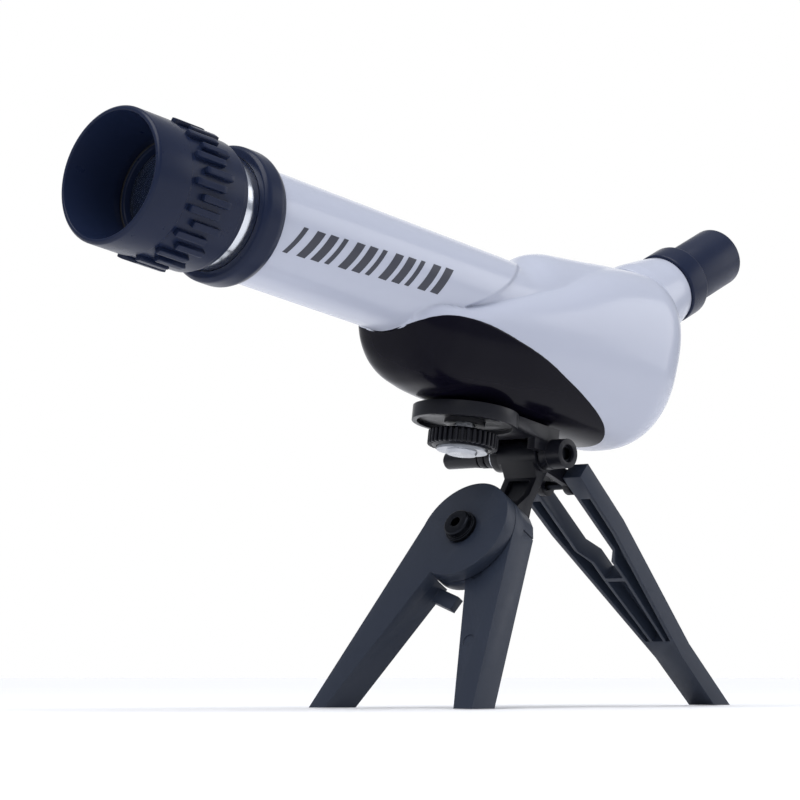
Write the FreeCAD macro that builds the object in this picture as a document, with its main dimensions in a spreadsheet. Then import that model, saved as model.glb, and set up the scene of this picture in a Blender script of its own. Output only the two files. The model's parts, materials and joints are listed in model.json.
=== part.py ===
import FreeCAD, Part
import math
import os
import re
import Sketcher

# Angled toy spotting scope on a folding three-leg stand.
# Assembly frame: millimetres, +Z up, +X towards the eyepiece, floor at Z = 0.
# The objective looks along -X, the clamp lever is on the +Y side.

# ---------------------------------------------------------------- driving sizes

SIZES = [
    ("tubeTilt", 8.7, "scope axis above level, degrees"),
    ("mouthRadius", 20.3, "focus barrel, outside"),
    ("barrelLength", 37.0, "focus barrel, front rim to rear edge"),
    ("barrelWall", 1.5, "wall at the front rim"),
    ("capSeatEnd", 13.0, "rear end of the plain band for a lens cap"),
    ("gripHeight", 1.1, "grip ribs above the barrel"),
    ("gripStart", 14.5, "front end of the long grip ribs"),
    ("gripEnd", 28.6, "rear end of the short grip ribs"),
    ("gripStagger", 3.5, "short ribs start this much later"),
    ("gripShort", 2.6, "long ribs stop this much earlier"),
    ("gripWidth", 2.2, "width of a grip rib"),
    ("cellStart", 19.0, "front face of the objective cell"),
    ("cellLength", 9.0, "objective cell, along the axis"),
    ("focusTravel", 5.0, "how far the objective moves out"),
    ("tubeRadius", 17.4, "main tube, outside"),
    ("tubeWall", 1.6, "wall of tube and housing"),
    ("collarStart", 42.5, "front face of the collar"),
    ("collarLength", 9.3, "collar, along the axis"),
    ("collarRadius", 20.7, "collar, outside"),
    ("socketDepth", 8.0, "tube inside the collar"),
    ("cellWall", 2.4, "tube radius beyond the objective lens"),
    ("lensThick", 4.0, "objective lens at its centre"),
    ("lensEdge", 2.0, "objective lens at its rim"),
    ("slideFit", 0.05, "radial running clearance"),
    ("looseFit", 0.3, "clearance between curved covers"),
    ("housingStart", 108.0, "front end of the swelling under the tube"),
    ("housingEnd", 249.0, "back of the housing"),
    ("housingHalf", 23.0, "half width of the housing"),
    ("housingTop", 29.5, "top of the housing above the axis"),
    ("housingDepth", 32.8, "bottom of the housing below the axis"),
    ("tongueEnd", 171.0, "end of the tube on the saddle"),
    ("screwStation", 158.5, "tripod screw behind the mouth"),
    ("eyeAngle", 34.2, "eyepiece axis above the tube axis, degrees"),
    ("eyeStation", 251.5, "front of the eyepiece ring, along the tube"),
    ("eyeHeight", 28.5, "front of the eyepiece ring, above the axis"),
    ("neckRadius", 13.4, "white neck where it meets the ring"),
    ("neckLength", 16.0, "white neck, into the housing"),
    ("ringRadius", 12.4, "eyepiece ring, outside"),
    ("ringLength", 10.4, "eyepiece ring"),
    ("cupRadius", 10.1, "eyecup, outside"),
    ("cupLength", 23.9, "eyecup beyond the ring"),
    ("eyeBore", 8.4, "eyepiece barrel, outside"),
    ("eyeTravel", 5.0, "how far the eyepiece draws out"),
    ("padRadius", 16.7, "round pad of the platform"),
    ("padThick", 4.7, "platform thickness"),
    ("padAboveTilt", 3.45, "pad underside above the tilt axis"),
    ("tiltToScrew", 31.1, "tilt axis behind the tripod screw"),
    ("armHalf", 11.5, "half width of the platform arm"),
    ("earThick", 3.1, "platform ears, each"),
    ("earRadius", 4.9, "rounding of the ears"),
    ("footPad", 0.7, "round foot under the belly cover"),
    ("wheelRadius", 11.1, "thumbwheel, outside"),
    ("wheelThick", 5.6, "thumbwheel"),
    ("wheelGap", 2.0, "pad underside to thumbwheel"),
    ("screwRadius", 3.1, "quarter inch tripod screw"),
    ("screwReach", 5.0, "tripod screw above the pad"),
    ("washerRadius", 8.0, "bright washer under the thumbwheel"),
    ("knuckleRadius", 5.6, "hub knuckle"),
    ("bossRadius", 4.7, "nut boss on the ear"),
    ("bossLength", 5.6, "nut boss, outwards"),
    ("clampRadius", 2.0, "clamp screw"),
    ("leverRadius", 2.9, "clamp handle"),
    ("leverLength", 22.0, "clamp handle"),
    ("legTilt", 31.0, "front legs forward of vertical, degrees"),
    ("leftSpread", 20.0, "left leg outwards, degrees"),
    ("rightSpread", 15.5, "right leg outwards, degrees"),
    ("discRadius", 17.0, "leg discs"),
    ("discThick", 4.5, "leg discs"),
    ("legDepth", 10.0, "front legs, front to back"),
    ("legWall", 1.7, "walls of the leg channels"),
    ("legTopInner", 0.5, "inner edge below the disc, from the leg's line"),
    ("legFootOuter", 9.6, "outer edge at the foot"),
    ("legFootInner", 4.2, "inner edge at the foot"),
    ("legReach", 78.0, "leg pivot to the foot end, before the floor cut"),
    ("pivotHeight", 55.7, "leg pivot above the floor"),
    ("legScrewRadius", 2.5, "leg screw shank"),
    ("hubPlateRadius", 13.0, "hub plate behind the discs"),
    ("hubPlateThick", 5.5, "hub plate"),
    ("hubHalf", 6.7, "half width of the hub"),
    ("hubWall", 2.4, "side walls of the hub"),
    ("tiltAhead", 31.3, "tilt axis behind the leg pivot"),
    ("tiltAbove", 24.3, "tilt axis above the leg pivot"),
    ("rearAhead", 47.0, "rear pivot behind the leg pivot"),
    ("rearAbove", 15.6, "rear pivot above the leg pivot"),
    ("rearSlope", 41.6, "rear leg below level, degrees"),
    ("rearThick", 6.0, "rear leg thickness"),
    ("rearReach", 112.0, "rear pivot to the foot end, before the floor cut"),
    ("rearTopHalf", 14.5, "half width of the fork"),
    ("rearFootHalf", 5.2, "half width at the foot"),
    ("prongEnd", 6.0, "fork beyond its pivot"),
    ("slotLength", 31.0, "wide slot, from the pivot"),
    ("neckSlotEnd", 41.0, "end of the narrow slot, from the pivot"),
    ("neckSlotHalf", 3.6, "half width of the narrow slot"),
    ("rearPinRadius", 1.5, "rear hinge pin"),
    ("sideFit", 0.4, "side clearance of the hinges"),
]

doc = FreeCAD.newDocument("SpottingScope")
sheet = doc.addObject("Spreadsheet::Sheet", "Sizes")
for row, (alias, value, note) in enumerate(SIZES, start=1):
    sheet.set("A%d" % row, note)
    sheet.set("B%d" % row, str(value))
    sheet.setAlias("B%d" % row, alias)
doc.recompute()


def size(alias):
    """The value of one driving size."""
    return float(sheet.get(alias))


ALIASES = {alias for alias, value, note in SIZES}
Sketch = Sketcher.Constraint


def bound(text):
    """An expression in the sheet's names, as another object writes it."""
    return re.sub(r"[A-Za-z]+", lambda m: "Sizes." + m.group() if m.group() in ALIASES else m.group(), text)


def worked(text):
    """The value of an expression in the sheet's names."""
    return float(sheet.evalExpression(text))


# ---------------------------------------------------------------- frames

Vec = FreeCAD.Vector
Y_AXIS = Vec(0, 1, 0)


def turn(axis, degrees):
    return FreeCAD.Rotation(axis, degrees)


pivot_point = Vec(0, 0, size("pivotHeight"))
tilt_point = pivot_point + Vec(size("tiltAhead"), 0, size("tiltAbove"))
rear_point = pivot_point + Vec(size("rearAhead"), 0, size("rearAbove"))

# platform frame: on the tilt axis, X back along the pad, Z square to the pad
platform_frame = FreeCAD.Placement(tilt_point, turn(Y_AXIS, size("tubeTilt")))
pad_top = size("padAboveTilt") + size("padThick")

# scope frame: centre of the mouth, X back along the tube, Z up
tube_above_pad = size("housingDepth") + size("footPad")
mouth_in_platform = Vec(-size("tiltToScrew") - size("screwStation"), 0, pad_top + tube_above_pad)
scope_frame = platform_frame.multiply(FreeCAD.Placement(mouth_in_platform, FreeCAD.Rotation()))

# eyepiece frame: front face of the ring, X outwards along the eyepiece
eye_offset = FreeCAD.Placement(
    Vec(size("eyeStation"), 0, size("eyeHeight")), turn(Y_AXIS, -size("eyeAngle")))
eye_frame = scope_frame.multiply(eye_offset)

# turning frame of the thumbwheel: X up along the tripod screw, from the pad underside
wheel_offset = FreeCAD.Placement(
    Vec(-size("tiltToScrew"), 0, size("padAboveTilt")), turn(Y_AXIS, -90))
wheel_frame = platform_frame.multiply(wheel_offset)

# clamp frame: X along +Y from the middle of the tilt axis
clamp_frame = platform_frame.multiply(FreeCAD.Placement(Vec(0, 0, 0), turn(Vec(0, 0, 1), 90)))

# leg frame: centre of the left disc's front face, Z forwards along the leg screw, Y up the slope
leg_slope = math.radians(size("legTilt"))
leg_normal = Vec(-math.cos(leg_slope), 0, math.sin(leg_slope))
leg_uphill = Vec(math.sin(leg_slope), 0, math.cos(leg_slope))
leg_frame = FreeCAD.Placement(
    pivot_point, FreeCAD.Rotation(Vec(0, -1, 0), leg_uphill, leg_normal, "ZXY"))
leg_turned = leg_frame.multiply(FreeCAD.Placement(Vec(0, 0, 0), turn(Y_AXIS, -90)))

# rear leg frame: on the rear pivot, X down along the leg, Z out of its upper face
rear_frame = FreeCAD.Placement(rear_point, turn(Y_AXIS, size("rearSlope")))

parts = {}


def keep(name, made, place):
    """Label a sub-part, put it in its place and keep it for export."""
    made.Label = name
    made.Placement = place
    parts[name] = made
    return made


# ---------------------------------------------------------------- sketch helpers

def new_body(name):
    return doc.addObject("PartDesign::Body", name + "_body")


def plane_of(body, role):
    return [f for f in body.Origin.OriginFeatures if f.Role == role][0]


def new_sketch(body, role, offset):
    sketch = body.newObject("Sketcher::SketchObject", body.Name + "_sketch")
    sketch.AttachmentSupport = (plane_of(body, role), [""])
    sketch.MapMode = "FlatFace"
    sketch.setExpression("AttachmentOffset.Base.z", bound(offset))
    return sketch


def pin_point(sketch, geo, pos, x, y):
    """Hold one point of a sketch at two expressions."""
    for kind, text in (("DistanceX", x), ("DistanceY", y)):
        number = sketch.addConstraint(Sketch(kind, geo, pos, worked(text)))
        sketch.setExpression("Constraints[%d]" % number, bound(text))


def outline(body, role, offset, points):
    """A closed polygon whose every corner is bound to the sheet."""
    sketch = new_sketch(body, role, offset)
    corners = [Vec(worked(x), worked(y), 0) for x, y in points]
    count = len(corners)
    for i in range(count):
        sketch.addGeometry(Part.LineSegment(corners[i], corners[(i + 1) % count]))
    for i in range(count):
        sketch.addConstraint(Sketch("Coincident", i, 2, (i + 1) % count, 1))
    for i, (x, y) in enumerate(points):
        pin_point(sketch, i, 1, x, y)
    return sketch


def ring_sketch(body, role, offset, x, y, radius):
    sketch = new_sketch(body, role, offset)
    sketch.addGeometry(Part.Circle(Vec(worked(x), worked(y), 0), Vec(0, 0, 1), worked(radius)))
    pin_point(sketch, 0, 3, x, y)
    number = sketch.addConstraint(Sketch("Radius", 0, worked(radius)))
    sketch.setExpression("Constraints[%d]" % number, bound(radius))
    return sketch


def feature(body, kind, sketch, length, backwards=False):
    """A Pad or Pocket of one sketch."""
    made = body.newObject("PartDesign::" + kind, body.Name + "_" + kind)
    made.Profile = sketch
    made.setExpression("Length", bound(length))
    made.Reversed = backwards
    return made


def turned(name, points):
    """A body turned about its X axis from (along, radius) corners."""
    body = new_body(name)
    sketch = outline(body, "XZ_Plane", "0", points)
    made = body.newObject("PartDesign::Revolution", name + "_turn")
    made.Profile = sketch
    made.ReferenceAxis = (sketch, ["H_Axis"])
    made.Angle = 360
    return body


def tube_points(start, end, outer, inner):
    return [(start, inner), (end, inner), (end, outer), (start, outer)]


def rod_points(start, end, radius):
    return [(start, "0"), (end, "0"), (end, radius), (start, radius)]


def solid_cut(name, base, tools):
    """The base with every tool taken away."""
    cutter = tools[0]
    if len(tools) > 1:
        cutter = doc.addObject("Part::MultiFuse", name + "_cutters")
        cutter.Shapes = tools
    cut = doc.addObject("Part::Cut", name + "_cut")
    cut.Base = base
    cut.Tool = cutter
    return cut


# ---------------------------------------------------------------- objective and focus barrel

# The grip barrel is a thin shell: a cone inside the mouth, then a bore that runs on the sleeve.
barrel_bore = "tubeRadius+slideFit"
barrel = turned("focus_barrel", [
    ("0", "mouthRadius-barrelWall"),
    ("0", "mouthRadius-0.6"),
    ("0.6", "mouthRadius"),
    ("capSeatEnd", "mouthRadius"),
    ("capSeatEnd+0.2", "mouthRadius-0.5"),
    ("barrelLength-2.7", "mouthRadius-0.5"),
    ("barrelLength-2.5", "mouthRadius-1.3"),
    ("barrelLength-0.4", "mouthRadius-1.4"),
    ("barrelLength", "mouthRadius-1.8"),
    ("barrelLength", barrel_bore),
    ("cellStart-looseFit", barrel_bore),
    ("cellStart-looseFit", "tubeRadius-cellWall+0.4"),
    ("cellStart-2.5", "tubeRadius-cellWall+0.4"),
])
GRIP_PAIRS = 16


def grip_ribs(start, length, angle):
    """A ring of raised bars on the barrel, the first one turned by an angle."""
    corners = [
        ("-gripWidth/2", "mouthRadius-0.9"),
        ("gripWidth/2", "mouthRadius-0.9"),
        ("gripWidth/2", "mouthRadius+gripHeight"),
        ("-gripWidth/2", "mouthRadius+gripHeight"),
    ]
    sketch = outline(barrel, "YZ_Plane", start, corners)
    sketch.AttachmentOffset = FreeCAD.Placement(Vec(0, 0, worked(start)), turn(Vec(0, 0, 1), angle))
    bar = feature(barrel, "Pad", sketch, length)
    ring = barrel.newObject("PartDesign::PolarPattern", "grip_ring")
    ring.Originals = [bar]
    ring.Axis = (plane_of(barrel, "X_Axis"), [""])
    ring.Angle = 360
    ring.Occurrences = GRIP_PAIRS
    barrel.Tip = ring
    doc.recompute()


doc.recompute()
grip_ribs("gripStart", "gripEnd-gripShort-gripStart", 0)
grip_ribs("gripStart+gripStagger", "gripEnd-gripStart-gripStagger", 180.0 / GRIP_PAIRS)
keep("focus_barrel", barrel, scope_frame)

# The objective cell carries the lens and does not turn; the barrel turns on it.
lens_front = "cellStart+1.8"
keep("objective_cell", turned("objective_cell", [
    ("cellStart", "tubeRadius-cellWall+slideFit"),
    ("cellStart", "tubeRadius-looseFit"),
    ("cellStart+cellLength", "tubeRadius-looseFit"),
    ("cellStart+cellLength", "tubeRadius-cellWall-1.4"),
    (lens_front + "+lensEdge", "tubeRadius-cellWall-1.4"),
    (lens_front + "+lensEdge", "tubeRadius-cellWall+slideFit"),
]), scope_frame)
keep("lens_retainer", turned("lens_retainer", [
    ("cellStart", "tubeRadius-cellWall-1"),
    ("cellStart", "tubeRadius-cellWall"),
    (lens_front, "tubeRadius-cellWall"),
    (lens_front, "tubeRadius-cellWall-1.8"),
]), scope_frame)


def lens(name, middle, radius, thick, edge, seat, place):
    """A biconvex lens round the X axis: two spherical caps, with a flat seat at the rim of each side."""
    x, r, inside = worked(middle), worked(radius), worked(radius) - worked(seat)
    front, back = x - worked(edge) / 2, x + worked(edge) / 2
    bulge = (worked(thick) - worked(edge)) / 2
    ball = (inside * inside + bulge * bulge) / (2 * bulge)
    rise = ball - math.sqrt(ball**2 - inside**2 / 4)
    arc_front = Part.Arc(Vec(front - bulge, 0, 0), Vec(front - bulge + rise, 0, inside / 2), Vec(front, 0, inside))
    arc_back = Part.Arc(Vec(back, 0, inside), Vec(back + bulge - rise, 0, inside / 2), Vec(back + bulge, 0, 0))
    rim = Part.makePolygon([Vec(front, 0, inside), Vec(front, 0, r), Vec(back, 0, r), Vec(back, 0, inside)])
    axis = Part.makeLine(Vec(back + bulge, 0, 0), Vec(front - bulge, 0, 0))
    face = Part.Face(Part.Wire([arc_front.toShape()] + rim.Edges + [arc_back.toShape(), axis]))
    made = doc.addObject("Part::Feature", name)
    made.Shape = face.revolve(Vec(0, 0, 0), Vec(1, 0, 0), 360)
    return keep(name, made, place)


lens("objective_lens", lens_front + "+lensEdge/2", "tubeRadius-cellWall", "lensThick", "lensEdge", "2", scope_frame)

# ---------------------------------------------------------------- tube, collar, sleeve, baffle

sleeve_start = "cellStart+cellLength+0.5"
tube_start = "collarStart+collarLength-socketDepth"
keep("focus_sleeve", turned("focus_sleeve", tube_points(
    sleeve_start, tube_start, "tubeRadius", "tubeRadius-1.2")), scope_frame)
keep("front_collar", turned("front_collar", [
    ("collarStart", "tubeRadius+slideFit"),
    ("collarStart", "collarRadius-0.8"),
    ("collarStart+0.8", "collarRadius"),
    ("collarStart+collarLength-2.4", "collarRadius"),
    ("collarStart+collarLength", "collarRadius-0.9"),
    ("collarStart+collarLength", "tubeRadius+slideFit"),
]), scope_frame)
keep("main_tube", turned("main_tube", tube_points(
    tube_start, "tongueEnd", "tubeRadius", "tubeRadius-tubeWall")), scope_frame)
keep("stop_ring", turned("stop_ring", tube_points(
    "housingStart-8", "housingStart-6.5", "tubeRadius-tubeWall", "tubeRadius-6")), scope_frame)

# ---------------------------------------------------------------- housing and belly cover

BACK_STEPS = 7


def profile(x, knots):
    """A smooth curve through (x, value) knots: straight between ends, eased at each knot."""
    for (x0, v0), (x1, v1) in zip(knots, knots[1:]):
        if x <= x1:
            f = max(0.0, (x - x0) / (x1 - x0))
            return v0 + (v1 - v0) * (f * f * (3 - 2 * f))
    return knots[-1][1]


def housing_section(x, inset):
    """Half width, top, bottom and mid height of the housing across the tube at one station."""
    start, end, half = size("housingStart"), size("housingEnd"), size("housingHalf")
    tube, depth, top = size("tubeRadius"), size("housingDepth"), size("housingTop")
    swell = min(1.0, (x - start) / 40.0)
    lower = tube - 1 + (depth - tube + 1) * math.sqrt(max(0.0, 1 - (1 - swell) ** 2))
    width = tube - 1 + (half - tube + 1) * math.sin(min(1.0, (x - start) / 70.0) * math.pi / 2)
    tongue = size("tongueEnd")
    upper = profile(x, [(start, tube - 3), (tongue - 8, tube - 3), (tongue + 10, top - 6), (end - 20, top)])
    centre = end - half
    round_off = 1.0
    if x > centre:
        round_off = math.sqrt(max(0.0, 1 - ((x - centre) / half) ** 2))
    middle = -3.0
    width = width * round_off
    upper = middle + (upper - middle) * (0.35 + 0.65 * round_off)
    lower = middle - (middle + lower) * (0.2 + 0.8 * round_off)
    return width - inset, upper - inset, lower + inset, middle


def housing_wire(x, inset):
    """A closed rounded section: two superellipse halves as one smooth curve."""
    width, upper, lower, middle = housing_section(x, inset)
    points = []
    for step in range(32):
        angle = 2 * math.pi * step / 32
        across, rise = math.cos(angle), math.sin(angle)
        height = upper - middle if rise >= 0 else middle - lower
        power = 2.0 / 2.5
        points.append(Vec(x, width * math.copysign(abs(across) ** power, across),
                          middle + height * math.copysign(abs(rise) ** power, rise)))
    curve = Part.BSplineCurve()
    curve.interpolate(points, PeriodicFlag=True)
    return Part.Wire(curve.toShape())


def housing_solid(inset):
    """The housing's outside, or its inside when inset by the wall."""
    start, end, half = size("housingStart") + inset, size("housingEnd") - inset, size("housingHalf")
    middle_steps = 10
    stations = [start + (end - half - start) * (i / middle_steps) ** 1.4 for i in range(middle_steps)]
    for step in range(BACK_STEPS):
        stations.append(end - half + half * math.sin(math.pi / 2 * step / BACK_STEPS) - 0.001)
    wires = [housing_wire(x, inset) for x in stations]
    return Part.makeLoft(wires, True, False)


outer = doc.addObject("Part::Feature", "housing_outside")
outer.Shape = housing_solid(0.0)
inner = doc.addObject("Part::Feature", "housing_inside")
inner.Shape = housing_solid(size("tubeWall"))


def biggest(shape):
    """The largest solid of a cut, without the slivers beside it."""
    return max(shape.Solids, key=lambda solid: solid.Volume)


# The black cover is the leaf-shaped part of the shell below this edge, seen from the side.
LEAF_EDGE = [(-6, -24), (-2, -18), (4, -14.4), (18, -11.2), (32, -10.9), (48, -13.0), (63, -16.4), (76, -20.2),
             (90, -24.2), (101, -27.6), (108, -31), (111, -36), (100, -48), (40, -52), (0, -40)]


def leaf_prism(grow):
    """The leaf, pushed through the whole housing."""
    start, half = size("housingStart"), size("housingHalf") + 10
    points = [Vec(start + x + math.copysign(grow, x - 50), -half, z + grow) for x, z in LEAF_EDGE]
    curve = Part.BSplineCurve()
    curve.interpolate(points, PeriodicFlag=True)
    return Part.Face(Part.Wire(curve.toShape())).extrude(Vec(0, 2 * half, 0))


tube_rod = Part.makeCylinder(size("tubeRadius") + size("slideFit"), size("tongueEnd") + size("slideFit"),
                             Vec(0, 0, 0), Vec(1, 0, 0))
neck_length = size("neckLength")
neck = Part.makeCone(size("neckRadius") + 1.8, size("neckRadius") - 0.6, neck_length,
                     Vec(-neck_length, 0, 0), Vec(1, 0, 0))
neck.Placement = eye_offset.multiply(neck.Placement)
eye_hole = Part.makeCylinder(size("eyeBore") + size("slideFit"), neck_length + 20,
                             Vec(-neck_length - 19, 0, 0), Vec(1, 0, 0))
eye_hole.Placement = eye_offset.multiply(eye_hole.Placement)
shell = outer.Shape.fuse(neck).cut(inner.Shape.cut(neck)).cut(tube_rod).cut(eye_hole)

housing = doc.addObject("Part::Feature", "housing")
housing.Shape = biggest(shell.cut(leaf_prism(0.25)))
keep("housing", housing, scope_frame)

station, depth = size("screwStation"), size("housingDepth")
foot_radius, boss_radius, nut_radius = 9.0, 7.0, 4.6
boss_height, nut_height = 9.0, 6.0
foot = Part.makeCylinder(foot_radius, size("footPad") + 1.2, Vec(station, 0, -depth - size("footPad")))
boss = Part.makeCylinder(boss_radius, boss_height, Vec(station, 0, -depth))
nut_space = Part.makeCylinder(nut_radius, nut_height, Vec(station, 0, -depth + 1.5))
screw_space = Part.makeCylinder(size("screwRadius") + 0.4, 2 * boss_height, Vec(station, 0, -depth - 5))
cover = doc.addObject("Part::Feature", "belly_cover")
cover.Shape = biggest(shell.common(leaf_prism(0.0)).fuse(foot).fuse(boss).cut(tube_rod)
                      .cut(nut_space).cut(screw_space))
keep("belly_cover", cover, scope_frame)

nut = doc.addObject("Part::Feature", "socket_nut")
nut.Shape = nut_space.cut(Part.makeCylinder(
    size("screwRadius") + size("slideFit"), 20, Vec(station, 0, -depth - 1)))
keep("socket_nut", nut, scope_frame)

# ---------------------------------------------------------------- prism

cage_start, cage_end, cage_half, cage_low, cage_high = 178.0, 224.0, 12.5, -12.5, 14.0
cage_wall = 1.5
plug = Part.makeCylinder(size("tubeRadius") - size("tubeWall") - size("slideFit"), 7,
                         Vec(size("tongueEnd") - 7, 0, 0), Vec(1, 0, 0))
throat = Part.makeCylinder(cage_half, cage_start - size("tongueEnd") + 0.1,
                           Vec(size("tongueEnd") - 0.05, 0, 0), Vec(1, 0, 0))
light_in = Part.makeCylinder(10.5, 40, Vec(size("tongueEnd") - 10, 0, 0), Vec(1, 0, 0))
cage_box = Part.makeBox(cage_end - cage_start, 2 * cage_half, cage_high - cage_low,
                        Vec(cage_start, -cage_half, cage_low))
cage_room = Part.makeBox(cage_end - cage_start - 2 * cage_wall, 2 * (cage_half - cage_wall),
                         cage_high - cage_low - cage_wall + 5,
                         Vec(cage_start + cage_wall, -cage_half + cage_wall, cage_low + cage_wall))
eye_way = Part.makeCylinder(size("eyeBore") + 0.6, 60, Vec(-50, 0, 0), Vec(1, 0, 0))
eye_way.Placement = eye_offset.multiply(eye_way.Placement)
cage = doc.addObject("Part::Feature", "prism_cage")
cage.Shape = biggest(plug.fuse(throat).fuse(cage_box).cut(light_in).cut(cage_room).cut(eye_way))
keep("prism_cage", cage, scope_frame)

# The erecting prism: a glass block with a sloped roof face, lying in the cage.
prism_points = [(0.1, 0), (36, 0), (42.9, 9), (30, 22), (12, 24), (0.1, 16)]
prism = doc.addObject("Part::Feature", "erecting_prism")
prism_wire = Part.makePolygon([Vec(cage_start + cage_wall + x, -cage_half + cage_wall + 0.1, cage_low + cage_wall + z)
                               for x, z in prism_points + prism_points[:1]])
prism.Shape = Part.Face(prism_wire).extrude(Vec(0, 2 * (cage_half - cage_wall - 0.1), 0))
keep("erecting_prism", prism, scope_frame)

# ---------------------------------------------------------------- eyepiece

keep("eyepiece_ring", turned("eyepiece_ring", [
    ("0", "eyeBore+slideFit"),
    ("0", "ringRadius-0.5"),
    ("0.5", "ringRadius"),
    ("ringLength-1.2", "ringRadius"),
    ("ringLength", "cupRadius+0.3"),
    ("ringLength", "eyeBore+slideFit"),
]), eye_frame)
keep("eyepiece_barrel", turned("eyepiece_barrel", [
    ("-neckLength+2", "eyeBore-1.3"),
    ("-neckLength+2", "eyeBore"),
    ("ringLength+6", "eyeBore"),
    ("ringLength+6", "eyeBore-1.3"),
]), eye_frame)
keep("eyecup", turned("eyecup", [
    ("ringLength", "eyeBore+slideFit"),
    ("ringLength", "cupRadius-0.4"),
    ("ringLength+0.6", "cupRadius-0.4"),
    ("ringLength+0.6", "cupRadius"),
    ("ringLength+cupLength-1.2", "cupRadius"),
    ("ringLength+cupLength", "cupRadius-1.2"),
    ("ringLength+cupLength", "cupRadius-2.6"),
    ("ringLength+14", "cupRadius-3.6"),
    ("ringLength+8", "cupRadius-3.6"),
    ("ringLength+8", "eyeBore+slideFit"),
]), eye_frame)
lens("field_lens", "-neckLength+4", "eyeBore-1.35", "2.6", "1.4", "1", eye_frame)
lens("eye_lens", "ringLength+4.9", "eyeBore-1.35", "3.2", "1.6", "1", eye_frame)
for name, at in (("field_lens_clip", "-neckLength+5"), ("eye_lens_clip", "ringLength+2.9")):
    keep(name, turned(name, tube_points(at, at + "+1", "eyeBore-1.3", "eyeBore-2.4")), eye_frame)

# ---------------------------------------------------------------- platform, thumbwheel and clamp

screw_at = -size("tiltToScrew")
pad_low, pad_thick = size("padAboveTilt"), size("padThick")
arm_half, ear_thick, ear_radius = size("armHalf"), size("earThick"), size("earRadius")


def y_rod(radius, start, end, x=0.0, z=0.0):
    """A cylinder along +Y."""
    return Part.makeCylinder(radius, end - start, Vec(x, start, z), Y_AXIS)


pad = Part.makeCylinder(size("padRadius"), pad_thick, Vec(screw_at, 0, pad_low))
arm_outline = [Vec(screw_at + 6, -arm_half - 1.5, 0), Vec(-4, -arm_half, 0), Vec(1.5, -arm_half, 0),
               Vec(1.5, arm_half, 0), Vec(-4, arm_half, 0), Vec(screw_at + 6, arm_half + 1.5, 0)]
arm = Part.Face(Part.makePolygon(arm_outline + arm_outline[:1])).extrude(Vec(0, 0, pad_thick))
arm.translate(Vec(0, 0, pad_low))
platform_shape = pad.fuse(arm)
for side in (-1, 1):
    inner_y = side * (arm_half - ear_thick)
    low_y, high_y = sorted((inner_y, side * arm_half))
    platform_shape = platform_shape.fuse(y_rod(ear_radius, low_y, high_y))
    cheek = Part.makeBox(ear_radius + 10, high_y - low_y, pad_low + 2, Vec(-10, low_y, 0))
    platform_shape = platform_shape.fuse(cheek)
nut_boss = y_rod(size("bossRadius"), -arm_half - size("bossLength"), -arm_half)
knuckle_room = y_rod(size("knuckleRadius") + size("sideFit"), -arm_half + ear_thick, arm_half - ear_thick)
knuckle_way = Part.makeBox(18, 2 * (arm_half - ear_thick), 12, Vec(-9, -arm_half + ear_thick, -12 + pad_low + 1.5))
recess = Part.makeCylinder(size("padRadius") - 1.6, 1.4, Vec(screw_at, 0, pad_low))
hub_of_pad = Part.makeCylinder(6.5, 1.4, Vec(screw_at, 0, pad_low))
clamp_hole = y_rod(size("clampRadius") + size("slideFit"), -40, 40)
nut_hole_radius, nut_pocket = 2.9, 3.2
nut_pocket_shape = y_rod(nut_hole_radius, -arm_half - size("bossLength"), -arm_half - size("bossLength") + nut_pocket)
screw_hole = Part.makeCylinder(size("screwRadius") + 0.35, 20, Vec(screw_at, 0, pad_low - 5))
platform_shape = platform_shape.fuse(nut_boss).cut(recess.cut(hub_of_pad)).cut(knuckle_room).cut(knuckle_way)
platform_shape = platform_shape.cut(clamp_hole).cut(nut_pocket_shape).cut(screw_hole)
platform = doc.addObject("Part::Feature", "platform")
platform.Shape = platform_shape.removeSplitter()
keep("platform", platform, platform_frame)

keep("thumbwheel", turned("thumbwheel", [
    ("-wheelGap-wheelThick", "screwRadius+slideFit"),
    ("-wheelGap-wheelThick", "wheelRadius-1.2"),
    ("-wheelGap-wheelThick+1", "wheelRadius"),
    ("-wheelGap-0.8", "wheelRadius"),
    ("-wheelGap", "wheelRadius-0.8"),
    ("-wheelGap", "screwRadius+3"),
    ("-0.3", "screwRadius+3"),
    ("-0.3", "screwRadius+slideFit"),
]), wheel_frame)
wheel_low = "-wheelGap-wheelThick"
keep("camera_screw", turned("camera_screw", [
    (wheel_low + "-2", "0"),
    (wheel_low + "-2", "screwRadius+1.4"),
    (wheel_low + "-0.9", "screwRadius+1.8"),
    (wheel_low + "-0.9", "screwRadius"),
    ("padThick+screwReach-0.6", "screwRadius"),
    ("padThick+screwReach", "screwRadius-0.6"),
    ("padThick+screwReach", "0"),
]), wheel_frame)
keep("wheel_washer", turned("wheel_washer", tube_points(
    wheel_low + "-0.9", wheel_low, "washerRadius", "screwRadius+slideFit")), wheel_frame)

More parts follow.
